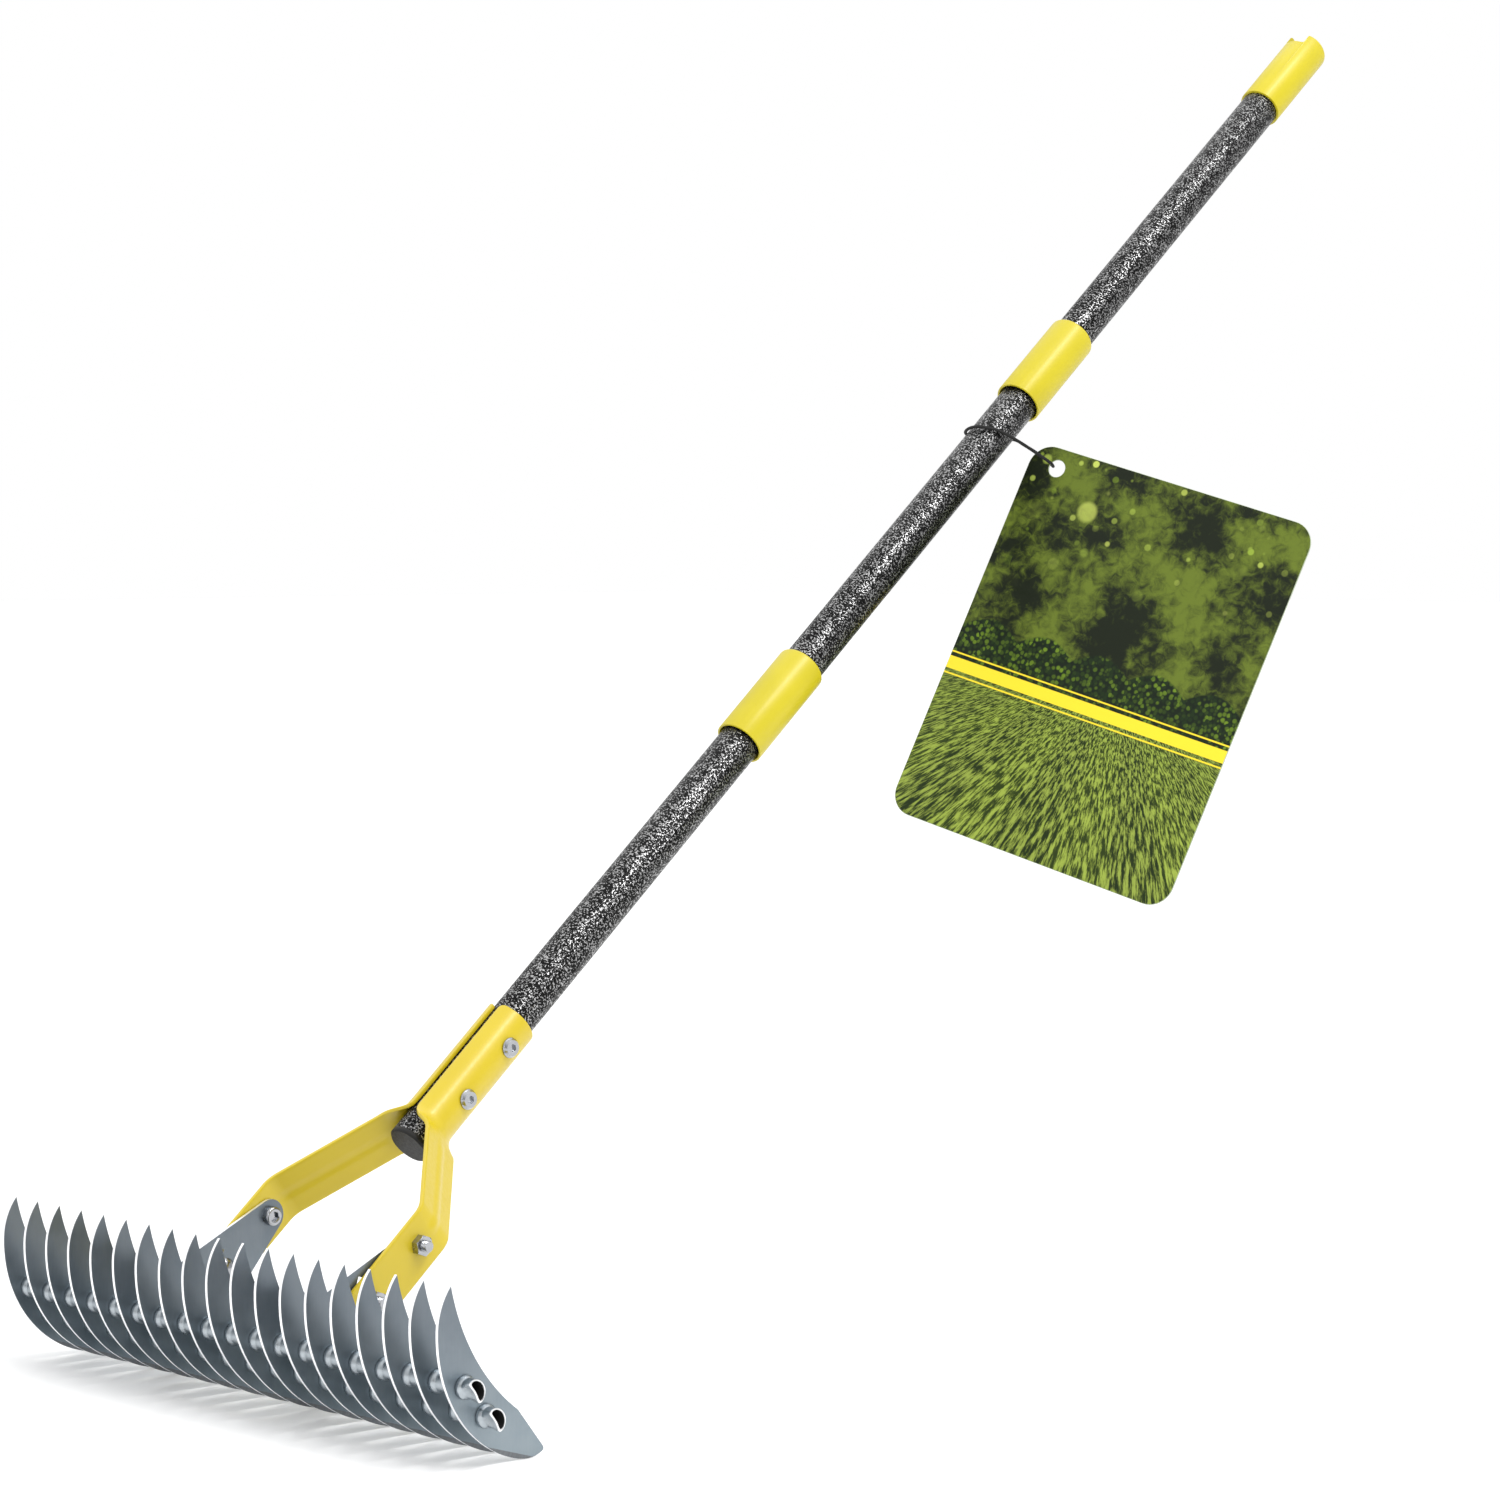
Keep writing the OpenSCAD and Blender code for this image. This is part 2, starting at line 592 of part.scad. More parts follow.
// The clamp heads bear on the highest line of the wrapped arms
clamp_seat_x = tube_r + clamp_clear + arm_t;
module clamp_head() {
    rim = clamp_head_h / 4;
    translate([0, 0, clamp_seat_x]) difference() {
        rotate_extrude() polygon([
            [0, 0], [clamp_head_d / 2, 0], [clamp_head_d / 2, rim], [clamp_head_d / 2 - rim, 2 * rim],
            [clamp_head_d / 2 - 2 * rim, clamp_head_h], [0, clamp_head_h]]);
        translate([0, 0, clamp_head_h]) hex_socket(clamp_socket_af, clamp_socket_depth);
    }
}

// The sleeve reaches from its head on the left almost to the right arm, and takes the screw
sleeve_l = clamp_seat_x + tube_r - tube_wall;
module clamp_sleeve(z) {
    color("gainsboro") placed() translate([0, 0, z]) rotate([0, -90, 0]) {
        clamp_head();
        translate([0, 0, clamp_seat_x - sleeve_l]) difference() {
            cylinder(r = sleeve_r, h = sleeve_l);
            translate([0, 0, -sleeve_l]) cylinder(r = clamp_r + fit_clear, h = 2 * sleeve_l - arm_t);
        }
    }
}

module clamp_screw(z) {
    color("gainsboro") placed() translate([0, 0, z]) along_x() {
        clamp_head();
        translate([0, 0, -tube_ri]) cylinder(r = clamp_r, h = tube_ri + clamp_seat_x);
    }
}

// Handle
module pipe(from_z, to_z) {
    difference() {
        translate([0, 0, from_z]) cylinder(r = tube_r, h = to_z - from_z);
        translate([0, 0, from_z - tube_wall]) cylinder(r = tube_ri, h = to_z - from_z + 2 * tube_wall);
    }
}

module lower_tube() {
    color("dimgray") placed() difference() {
        pipe(tube_foot, lower_joint);
        for (z = [clamp_high, clamp_low])
            x_bore(sleeve_r + fit_clear, -tube_d, tube_d, 0, z);
    }
}

module middle_tube() {
    color("dimgray") placed() pipe(lower_joint, upper_joint);
}

module upper_tube() {
    color("dimgray") placed() pipe(upper_joint, handle_top - cap_end);
}

module tube_plug() {
    edge = plug_flange / 3;
    color("black") placed() rotate_extrude() polygon([
        [0, tube_foot - plug_flange], [tube_r - edge, tube_foot - plug_flange],
        [tube_r, tube_foot - plug_flange + edge], [tube_r, tube_foot], [insert_r, tube_foot],
        [insert_r, tube_foot + plug_depth], [0, tube_foot + plug_depth]]);
}

module joint_stud(z) {
    color("black") placed() translate([0, 0, z]) {
        translate([0, 0, -insert_l]) cylinder(r = insert_r, h = insert_l);
        cylinder(r = stud_d / 2, h = stud_l);
    }
}

module joint_socket(z) {
    color("black") placed() translate([0, 0, z]) difference() {
        cylinder(r = insert_r, h = insert_l);
        translate([0, 0, -stud_l]) cylinder(r = stud_d / 2 + fit_clear, h = 2 * stud_l + fit_clear);
    }
}

module collar(z) {
    foot = z - collar_l / 2;
    top = z + collar_l / 2;
    bore_r = tube_r + fit_clear;
    round_c = [collar_r - collar_round, top - collar_round];
    color("yellow") placed() rotate_extrude() polygon(concat(
        [[bore_r + mouth_gap, foot], [collar_r, foot]],
        [for (k = [0:6]) round_c + collar_round * [cos(15 * k), sin(15 * k)]],
        [[bore_r, top], [bore_r, foot + mouth_depth], [bore_r + mouth_gap, foot + mouth_depth]]));
}

module hang_slot() {
    floor_side = hang_w / 2 - hang_corner;
    translate([-tube_d, 0, 0]) {
        translate([0, -hang_w / 2, hang_corner]) cube([2 * tube_d, hang_w, hang_depth]);
        translate([0, -floor_side, 0]) cube([2 * tube_d, 2 * floor_side, 2 * hang_corner]);
        for (y = [-floor_side, floor_side])
            translate([0, y, hang_corner]) along_x() cylinder(r = hang_corner, h = 2 * tube_d);
    }
}

module end_cap() {
    foot = handle_top - cap_l;
    tube_end = handle_top - cap_end;
    bore_r = tube_r + fit_clear;
    color("yellow") placed() difference() {
        rotate_extrude() polygon(concat(
            [[bore_r, foot], [cap_r, foot]],
            [for (k = [0:6]) cap_corner_c + cap_round * [cos(15 * k), sin(15 * k)]],
            [[0, handle_top], [0, tube_end], [bore_r, tube_end]]));
        translate([0, 0, handle_top - hang_depth]) rotate([0, 0, -hang_turn]) hang_slot();
    }
}

// Hang tag
module tag_outline() {
    difference() {
        union() {
            translate([tag_corner, -tag_h]) square([tag_w - 2 * tag_corner, tag_h]);
            translate([0, tag_corner - tag_h]) square([tag_w, tag_h - 2 * tag_corner]);
            for (x = [tag_corner, tag_w - tag_corner]) for (y = [-tag_corner, tag_corner - tag_h])
                translate([x, y]) circle(r = tag_corner);
        }
        translate([tag_hole_side, -tag_hole_top]) circle(r = tag_hole_d / 2);
    }
}

module hang_tag() {
    hole = [tag_hole_reach * cos(tag_hole_bearing), tag_hole_reach * sin(tag_hole_bearing), tag_hole_z];
    color("darkolivegreen") placed() translate(hole)
        rotate([tag_lean, 0, tag_turn]) rotate([0, tag_roll, 0])
            translate([-tag_hole_side, tag_t / 2, tag_hole_top])
                rotate([90, 0, 0]) linear_extrude(tag_t) tag_outline();
}

module tag_tie() {
    last = len(tie_route) - 1;
    points = [for (k = [0:last])
        let (way = unit(tie_route[min(k + 1, last)] - tie_route[max(k - 1, 0)]),
             across = unit(cross(way, [0, 0, 1])),
             up = cross(across, way))
        for (j = [0:tie_sides - 1]) let (a = 360 * j / tie_sides)
            tie_route[k] + tie_cord_d / 2 * (cos(a) * across + sin(a) * up)];
    function at(k, j) = k * tie_sides + (j % tie_sides);
    skin = [for (k = [0:last - 1]) for (j = [0:tie_sides - 1])
        each [[at(k, j), at(k, j + 1), at(k + 1, j + 1)], [at(k, j), at(k + 1, j + 1), at(k + 1, j)]]];
    start_cap = [for (j = [1:tie_sides - 2]) [at(0, 0), at(0, j + 1), at(0, j)]];
    finish_cap = [for (j = [1:tie_sides - 2]) [at(last, 0), at(last, j), at(last, j + 1)]];
    color("black") placed() rotate([0, 0, tag_hole_bearing])
        polyhedron(points, concat(skin, start_cap, finish_cap));
}

// The knot lies behind the handle, between the two ends of the tie cord
module tie_knot() {
    first = tie_route[0];
    last = tie_route[len(tie_route) - 1];
    way = unit(first - last);
    knot_l = norm(first - last) - 2 * fit_clear;
    edge = (knot_d - tie_cord_d) / 3;
    color("black") placed() rotate([0, 0, tag_hole_bearing])
        translate((first + last) / 2) rotate([0, acos(way[2]), atan2(way[1], way[0])])
            rotate_extrude() polygon(concat(
                [[0, -knot_l / 2]],
                arc([knot_d / 2 - edge, edge - knot_l / 2], edge, 0, 90, 4),
                arc([knot_d / 2 - edge, knot_l / 2 - edge], edge, 90, 180, 4),
                [[0, knot_l / 2]]));
}

upper_tube();
middle_tube();
lower_tube();
tube_plug();
end_cap();
collar(upper_joint);  // upper_collar
joint_stud(upper_joint);  // upper_joint_stud
joint_socket(upper_joint);  // upper_joint_socket
collar(lower_joint);  // lower_collar
joint_stud(lower_joint);  // lower_joint_stud
joint_socket(lower_joint);  // lower_joint_socket
arm(-1);  // left_arm
arm(1);  // right_arm
clamp_screw(clamp_high);  // upper_clamp_screw
clamp_sleeve(clamp_high);  // upper_clamp_sleeve
clamp_screw(clamp_low);  // lower_clamp_screw
clamp_sleeve(clamp_low);  // lower_clamp_sleeve
pivot_bolt(-1);  // left_pivot_bolt
pivot_bolt(1);  // right_pivot_bolt
nut(-1, 0);  // left_pivot_nut
nut(1, 0);  // right_pivot_nut
adjust_bolt(-1);  // left_adjust_bolt
adjust_bolt(1);  // right_adjust_bolt
nut(-1, -adjust_r);  // left_adjust_nut
nut(1, -adjust_r);  // right_adjust_nut
for (i = [1:tine_count]) tine(i);
tie_tube(-tie_front);  // front_tie_tube
tie_tube(tie_rear);  // rear_tie_tube
hang_tag();
tag_tie();
tie_knot();
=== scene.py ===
"""The looks of a thatch rake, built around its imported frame. Metres, +Z up."""
import json
import math

import bmesh
import bpy
from mathutils import Matrix, Vector


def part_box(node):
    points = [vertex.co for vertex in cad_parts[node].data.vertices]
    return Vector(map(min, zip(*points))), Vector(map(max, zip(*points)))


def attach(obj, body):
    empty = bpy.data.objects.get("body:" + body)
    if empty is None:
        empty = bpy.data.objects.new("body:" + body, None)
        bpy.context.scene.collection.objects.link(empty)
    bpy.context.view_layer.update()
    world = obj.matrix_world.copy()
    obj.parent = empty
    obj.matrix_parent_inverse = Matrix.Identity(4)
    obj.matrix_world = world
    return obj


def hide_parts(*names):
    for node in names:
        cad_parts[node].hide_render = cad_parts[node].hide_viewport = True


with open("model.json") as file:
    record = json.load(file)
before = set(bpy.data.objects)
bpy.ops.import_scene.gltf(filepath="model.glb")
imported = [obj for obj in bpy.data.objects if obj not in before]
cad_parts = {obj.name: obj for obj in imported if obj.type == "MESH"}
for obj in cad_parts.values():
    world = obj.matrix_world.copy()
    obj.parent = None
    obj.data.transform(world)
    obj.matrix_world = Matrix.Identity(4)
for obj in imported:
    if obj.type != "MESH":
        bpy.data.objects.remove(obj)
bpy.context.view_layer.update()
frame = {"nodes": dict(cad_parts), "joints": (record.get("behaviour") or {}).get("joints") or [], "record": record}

MM = 0.001

# The rake's own directions, from the frame's joints
joints = {joint["name"]: joint for joint in frame["joints"]}
pivot = Vector(joints["head_tilt"]["pos_m"])
across = Vector(joints["head_tilt"]["axis"]).normalized()
up_handle = Vector(joints["tag_swing"]["axis"]).normalized()
rearward = up_handle.cross(across)

# The handle's frame at the pivot: X along the head, Y towards the blunt ends, Z up the handle
HANDLE = Matrix.Translation(pivot) @ Matrix((across, rearward, up_handle)).transposed().to_4x4()


# Camera, at the photograph's place
CAMERA_PLACE = (1.5611, -1.6891, 0.4572)
CAMERA_AZIMUTH = math.radians(44.07)
CAMERA_ELEVATION = math.radians(3.23)
CAMERA_LENS = 91.7
CAMERA_SENSOR = 36.0
CAMERA_NEAR = 0.05


def make_camera():
    back = Vector((
        math.sin(CAMERA_AZIMUTH) * math.cos(CAMERA_ELEVATION),
        -math.cos(CAMERA_AZIMUTH) * math.cos(CAMERA_ELEVATION),
        math.sin(CAMERA_ELEVATION)))
    data = bpy.data.cameras.new("camera")
    data.lens = CAMERA_LENS
    data.sensor_width = CAMERA_SENSOR
    data.clip_start = CAMERA_NEAR
    camera = bpy.data.objects.new("camera", data)
    camera.location = CAMERA_PLACE
    camera.rotation_euler = back.to_track_quat("Z", "Y").to_euler()
    bpy.context.scene.collection.objects.link(camera)
    bpy.context.scene.camera = camera


# A noise keeps about its middle: most of it lies within the spread on either side
NOISE_MIDDLE = 0.5
NOISE_SPREAD = 0.2
CLOUD_SPREAD = 0.15

# The colour sockets of a Mix node
MIX_FIRST = 6
MIX_SECOND = 7
MIX_RESULT = 2


class Nodes:
    """Adds nodes to a tree, with a constant or a link on each input."""

    def __init__(self, tree):
        self.tree = tree

    def add(self, kind, inputs=None, **settings):
        made = self.tree.nodes.new("ShaderNode" + kind)
        for key, value in settings.items():
            setattr(made, key, value)
        for key, value in (inputs or {}).items():
            self.feed(made.inputs[key], value)
        return made

    def feed(self, socket, value):
        if isinstance(value, bpy.types.NodeSocket):
            self.tree.links.new(value, socket)
        else:
            socket.default_value = value

    def math(self, operation, first, second=0.0):
        return self.add("Math", {0: first, 1: second}, operation=operation).outputs[0]

    def plus(self, first, second):
        return self.math("ADD", first, second)

    def minus(self, first, second):
        return self.math("SUBTRACT", first, second)

    def times(self, first, second):
        return self.math("MULTIPLY", first, second)

    def parts(self, vector):
        """The X, Y and Z of a vector or colour."""
        return self.add("SeparateXYZ", {0: vector}).outputs[:]

    def between(self, value, low, high, out_low=0.0, out_high=1.0):
        """The value as a share of low to high, eased, mapped to out_low to out_high."""
        inputs = {"Value": value, "From Min": low, "From Max": high, "To Min": out_low, "To Max": out_high}
        return self.add("MapRange", inputs, interpolation_type="SMOOTHSTEP").outputs["Result"]

    def vary(self, noise, out_low=0.0, out_high=1.0, spread=NOISE_SPREAD):
        """A noise's usual range, mapped to out_low to out_high."""
        return self.between(noise, NOISE_MIDDLE - spread, NOISE_MIDDLE + spread, out_low, out_high)

    def mix(self, share, first, second):
        made = self.add("Mix", data_type="RGBA")
        self.feed(made.inputs["Factor"], share)
        self.feed(made.inputs[MIX_FIRST], first)
        self.feed(made.inputs[MIX_SECOND], second)
        return made.outputs[MIX_RESULT]

    def noise(self, where, scale, detail=2.0, roughness=0.5, distortion=0.0):
        inputs = {"Vector": where, "Scale": scale, "Detail": detail, "Roughness": roughness,
                  "Distortion": distortion}
        return self.add("TexNoise", inputs).outputs["Fac"]

    def bump(self, height, strength, distance):
        inputs = {"Height": height, "Strength": strength, "Distance": distance}
        return self.add("Bump", inputs).outputs["Normal"]

    def object_place(self):
        return self.add("TexCoord").outputs["Object"]


def grey(value):
    return (value, value, value, 1.0)


def rgb(red, green, blue):
    return (red, green, blue, 1.0)


def new_material(name):
    """A material, its node helper and its shader."""
    material = bpy.data.materials.new(name)
    material.use_nodes = True
    shader = material.node_tree.nodes["Principled BSDF"]
    return material, Nodes(material.node_tree), shader


# Finishes. A colour of two is a range, dark and light
HAMMER_BLACK = grey(0.003)
FLECK_SILVER = grey(0.36)
FLECK_GRAIN = 0.5
FLECK_PATCHES = 0.25
FLECK_FROM = 0.565
FLECK_TO = 0.61


def hammertone_paint():
    """Black paint drawn up into small dimples, with silver flecks."""
    material, nodes, shader = new_material("hammertone_paint")
    where = nodes.object_place()
    dimples = nodes.noise(where, scale=880.0, detail=1.0)
    grain = nodes.noise(where, scale=2200.0, detail=1.0)
    patches = nodes.noise(where, scale=170.0)
    flecks = nodes.plus(dimples, nodes.times(nodes.minus(grain, NOISE_MIDDLE), FLECK_GRAIN))
    flecks = nodes.plus(flecks, nodes.times(nodes.minus(patches, NOISE_MIDDLE), FLECK_PATCHES))
    shine = nodes.between(flecks, FLECK_FROM, FLECK_TO)
    nodes.feed(shader.inputs["Base Color"], nodes.mix(shine, HAMMER_BLACK, FLECK_SILVER))
    nodes.feed(shader.inputs["Metallic"], shine)
    nodes.feed(shader.inputs["Roughness"], nodes.vary(grain, 0.26, 0.36))
    shader.inputs["Specular IOR Level"].default_value = 0.1
    nodes.feed(shader.inputs["Normal"], nodes.bump(flecks, strength=0.7, distance=0.35 * MM))
    return material


MOULDED_YELLOW = (rgb(0.482, 0.405, 0.007), rgb(0.510, 0.428, 0.009))


def yellow_plastic():
    """Lemon yellow moulded plastic with a fine satin grain."""
    material, nodes, shader = new_material("yellow_plastic")
    where = nodes.object_place()
    cloud = nodes.noise(where, scale=28.0, detail=3.0)
    grain = nodes.noise(where, scale=1900.0)
    shade = nodes.vary(cloud, spread=CLOUD_SPREAD)
    nodes.feed(shader.inputs["Base Color"], nodes.mix(shade, *MOULDED_YELLOW))
    nodes.feed(shader.inputs["Roughness"], nodes.vary(grain, 0.34, 0.44))
    nodes.feed(shader.inputs["Normal"], nodes.bump(grain, strength=0.12, distance=0.1 * MM))
    return material


PAINTED_YELLOW = (rgb(0.530, 0.400, 0.004), rgb(0.545, 0.415, 0.005))


def yellow_paint():
    """Glossy yellow powder coat with a slight orange peel."""
    material, nodes, shader = new_material("yellow_paint")
    where = nodes.object_place()
    cloud = nodes.noise(where, scale=22.0, detail=3.0)
    peel = nodes.noise(where, scale=420.0, detail=1.0)
    shade = nodes.vary(cloud, spread=CLOUD_SPREAD)
    nodes.feed(shader.inputs["Base Color"], nodes.mix(shade, *PAINTED_YELLOW))
    nodes.feed(shader.inputs["Roughness"], nodes.vary(peel, 0.36, 0.44))
    shader.inputs["Coat Weight"].default_value = 0.3
    shader.inputs["Coat Roughness"].default_value = 0.26
    nodes.feed(shader.inputs["Normal"], nodes.bump(peel, strength=0.06, distance=0.15 * MM))
    return material


PLATE_ZINC = (rgb(0.128, 0.152, 0.176), rgb(0.172, 0.196, 0.220))
# Lighter zinc below the height that follows: a painted reflection of the bright floor
FLOOR_REFLECTION_ZINC = (rgb(0.205, 0.250, 0.282), rgb(0.262, 0.308, 0.338))
GROUND_ZINC = (rgb(0.10, 0.11, 0.12), rgb(0.22, 0.23, 0.24))
CUT_EDGE = rgb(0.92, 0.93, 0.95)
FLOOR_REFLECTION_H = 0.09
ZINC_SPREAD = 0.18
CLOUD_SHARE = 0.85
STREAK_SCALE = (40.0, 700.0, 60.0)
# How far a surface faces along the head, from a cut edge to a bevel and from a bevel to a flat face
EDGE_TO_BEVEL = (0.45, 0.80)
BEVEL_TO_FACE = (0.95, 0.985)


def sheet_zinc():
    """Dull zinc faces, painted lighter near the ground as a painted reflection of the bright floor, with dark
    ground bevels and bright cut edges.
    """
    material, nodes, shader = new_material("sheet_zinc")
    where = nodes.object_place()
    stretched = nodes.add("Mapping", {"Vector": where, "Scale": STREAK_SCALE}).outputs["Vector"]
    cloud = nodes.noise(where, scale=24.0, detail=4.0, roughness=0.6)
    streaks = nodes.noise(stretched, scale=1.0, detail=3.0, roughness=0.6)
    tone = nodes.plus(nodes.times(cloud, CLOUD_SHARE), nodes.times(streaks, 1.0 - CLOUD_SHARE))
    shade = nodes.vary(tone, spread=ZINC_SPREAD)
    height = nodes.parts(where)[2]
    # Painted reflection: the zinc turns lighter towards the ground, as if it mirrored the bright floor
    plate = nodes.mix(
        nodes.between(height, 0.0, FLOOR_REFLECTION_H), nodes.mix(shade, *FLOOR_REFLECTION_ZINC), nodes.mix(shade, *PLATE_ZINC))
    facing = nodes.math("ABSOLUTE", nodes.parts(nodes.add("TexCoord").outputs["Normal"])[0])
    worked = nodes.mix(nodes.between(facing, *BEVEL_TO_FACE), nodes.mix(streaks, *GROUND_ZINC), plate)
    colour = nodes.mix(nodes.between(facing, *EDGE_TO_BEVEL), CUT_EDGE, worked)
    nodes.feed(shader.inputs["Base Color"], colour)
    nodes.feed(shader.inputs["Roughness"], nodes.vary(tone, 0.32, 0.44))
    shader.inputs["Metallic"].default_value = 0.75
    nodes.feed(shader.inputs["Normal"], nodes.bump(cloud, strength=0.05, distance=0.4 * MM))
    return material


CLOUDED_ZINC = 0.86


def bright_zinc(name, colour, rough_low, rough_high):
    """Bright zinc plate with slight clouding."""
    material, nodes, shader = new_material(name)
    cloud = nodes.noise(nodes.object_place(), scale=260.0, detail=3.0, roughness=0.6)
    clouded = rgb(*(CLOUDED_ZINC * part for part in colour))
    nodes.feed(shader.inputs["Base Color"], nodes.mix(nodes.vary(cloud), clouded, rgb(*colour)))
    nodes.feed(shader.inputs["Roughness"], nodes.vary(cloud, rough_low, rough_high))
    shader.inputs["Metallic"].default_value = 1.0
    nodes.feed(shader.inputs["Normal"], nodes.bump(cloud, strength=0.08, distance=0.1 * MM))
    return material


DARK_GRAIN = 0.4
DARK_ROUGH_SPREAD = 0.06


def dark_matter(name, level, roughness, grain_scale):
    """Black plastic, cord, or the near-black painted shade inside a tube, by its level and grain."""
    material, nodes, shader = new_material(name)
    grain = nodes.noise(nodes.object_place(), grain_scale)
    nodes.feed(shader.inputs["Base Color"], nodes.mix(
        grain, grey((1.0 - DARK_GRAIN) * level), grey((1.0 + DARK_GRAIN) * level)))
    nodes.feed(shader.inputs["Roughness"], nodes.vary(
        grain, roughness - DARK_ROUGH_SPREAD, roughness + DARK_ROUGH_SPREAD))
    shader.inputs["Specular IOR Level"].default_value = 0.3
    nodes.feed(shader.inputs["Normal"], nodes.bump(grain, strength=0.2, distance=0.15 * MM))
    return material


CARD_STOCK = (rgb(0.30, 0.35, 0.24), rgb(0.36, 0.41, 0.29))


def plain_card():
    """The unprinted card of the hang tag's edge and back."""
    material, nodes, shader = new_material("plain_card")
    fibres = nodes.noise(nodes.object_place(), scale=900.0, detail=3.0, roughness=0.6)
    nodes.feed(shader.inputs["Base Color"], nodes.mix(fibres, *CARD_STOCK))
    nodes.feed(shader.inputs["Roughness"], nodes.vary(fibres, 0.45, 0.6))
    nodes.feed(shader.inputs["Normal"], nodes.bump(fibres, strength=0.1, distance=0.05 * MM))
    return material


# The tag's print. Its places are shares of the card's height, from its lower left corner
LEAF_GREEN = (rgb(0.006, 0.010, 0.003), rgb(0.110, 0.150, 0.016))
LEAF_SHARE = 0.5
LEAF_RANGE = (0.64, 0.92)
DISC_GREEN = (rgb(0.200, 0.320, 0.020), rgb(0.560, 0.640, 0.130))
# Each size of disc: cells over the card, radius in a cell, least draw that shows, strength
DISCS = ((9.0, 0.30, 0.60, 0.6), (16.0, 0.28, 0.50, 0.85), (27.0, 0.26, 0.55, 0.9))
DISC_RANDOMNESS = 0.85
DISC_SOFT_IN = 0.08
DISC_SOFT_OUT = 0.02
DISC_HEIGHTS = (0.60, 0.98)
HEDGE_GREEN = (rgb(0.008, 0.020, 0.004), rgb(0.120, 0.200, 0.014))
HEDGE_GAP = rgb(0.004, 0.010, 0.003)
HEDGE_GAP_RANGE = (0.35, 0.75)
HEDGE_TOP = 0.50
HEDGE_SOFT = 0.004
HEDGE_LEAVES = 95.0
HEDGE_LEAST_SUN = 0.35
HEDGE_LEAF_RANGE = (0.25, 1.0)
SCALLOP_RATE = 19.6
SCALLOP_H = 0.035
LAWN_GREEN = (rgb(0.045, 0.085, 0.005), rgb(0.105, 0.170, 0.010))
LAWN_TOP = 0.40
LAWN_SOFT = 0.002
STRIPES_MEET = (0.46, 0.56)
STRIPE_RATE = 10.0
STRIPE_SOFT = 0.25
GRASS_DARK = rgb(0.004, 0.010, 0.002)
GRASS_DARK_SHARE = 0.85
GRASS_LIGHT = rgb(0.380, 0.470, 0.080)
GRASS_LIGHT_SHARE = 0.60
BLADE_RATE = 46.0
BLADE_DEPTH_RATE = 4.0
BLADE_RANGE = (0.43, 0.60)
BAND_YELLOW = rgb(0.82, 0.62, 0.03)
BANDS = ((0.384, 0.416), (0.426, 0.430), (0.370, 0.374))
BAND_SOFT = 0.0008


def far_leaves(nodes, flat, blur):
    """Leaves far behind, out of focus."""
    leaves = nodes.noise(flat, scale=40.0, detail=4.0, roughness=0.65, distortion=0.6)
    shade = nodes.between(nodes.plus(blur, nodes.times(leaves, LEAF_SHARE)), *LEAF_RANGE)
    return nodes.mix(shade, *LEAF_GREEN)


def light_discs(nodes, picture, flat, y):
    """Discs of light among the leaves, more of them towards the top."""
    high = nodes.between(y, *DISC_HEIGHTS)
    for cells, radius, least_draw, strength in DISCS:
        cell = nodes.add("TexVoronoi", {"Vector": flat, "Scale": cells, "Randomness": DISC_RANDOMNESS})
        draw, tint, _ = nodes.parts(cell.outputs["Color"])
        disc = nodes.between(
            cell.outputs["Distance"], radius - DISC_SOFT_IN, radius + DISC_SOFT_OUT, 1.0, 0.0)
        chosen = nodes.between(draw, least_draw, 1.0, 0.0, strength)
        share = nodes.times(nodes.times(disc, chosen), high)
        picture = nodes.mix(share, picture, nodes.mix(tint, *DISC_GREEN))
    return picture


def clipped_hedge(nodes, picture, flat, x, y, blur):
    """A clipped hedge with a scalloped top."""
    scallop = nodes.math("ABSOLUTE", nodes.math("SINE", nodes.times(x, SCALLOP_RATE)))
    top = nodes.plus(nodes.times(scallop, SCALLOP_H), HEDGE_TOP)
    leaf = nodes.add("TexVoronoi", {"Vector": flat, "Scale": HEDGE_LEAVES})
    leaf_tone = nodes.parts(leaf.outputs["Color"])[0]
    sunlit = nodes.vary(blur, HEDGE_LEAST_SUN, 1.0, spread=CLOUD_SPREAD)
    lit = nodes.times(nodes.between(leaf_tone, *HEDGE_LEAF_RANGE), sunlit)
    hedge = nodes.mix(lit, *HEDGE_GREEN)
    hedge = nodes.mix(nodes.between(leaf.outputs["Distance"], *HEDGE_GAP_RANGE), hedge, HEDGE_GAP)
    below = nodes.between(nodes.minus(top, y), -HEDGE_SOFT, HEDGE_SOFT)
    return nodes.mix(below, picture, hedge)


def mown_lawn(nodes, picture, x, y):
    """Mown stripes that run together behind the hedge, with short grass."""
    depth = nodes.minus(STRIPES_MEET[1], y)
    run = nodes.math("DIVIDE", nodes.minus(x, STRIPES_MEET[0]), depth)
    stripe = nodes.between(nodes.math("SINE", nodes.times(run, STRIPE_RATE)), -STRIPE_SOFT, STRIPE_SOFT)
    blade_depth = nodes.math("DIVIDE", BLADE_DEPTH_RATE, depth)
    blade_place = nodes.add("CombineXYZ", {0: nodes.times(run, BLADE_RATE), 1: blade_depth}).outputs[0]
    blades = nodes.noise(blade_place, scale=1.0, detail=4.0, roughness=0.7)
    lawn = nodes.mix(stripe, *LAWN_GREEN)
    dark_grass = nodes.mix(GRASS_DARK_SHARE, lawn, GRASS_DARK)
    light_grass = nodes.mix(GRASS_LIGHT_SHARE, lawn, GRASS_LIGHT)
    lawn = nodes.mix(nodes.between(blades, *BLADE_RANGE), dark_grass, light_grass)
    on_lawn = nodes.between(nodes.minus(LAWN_TOP, y), -LAWN_SOFT, LAWN_SOFT)
    return nodes.mix(on_lawn, picture, lawn)


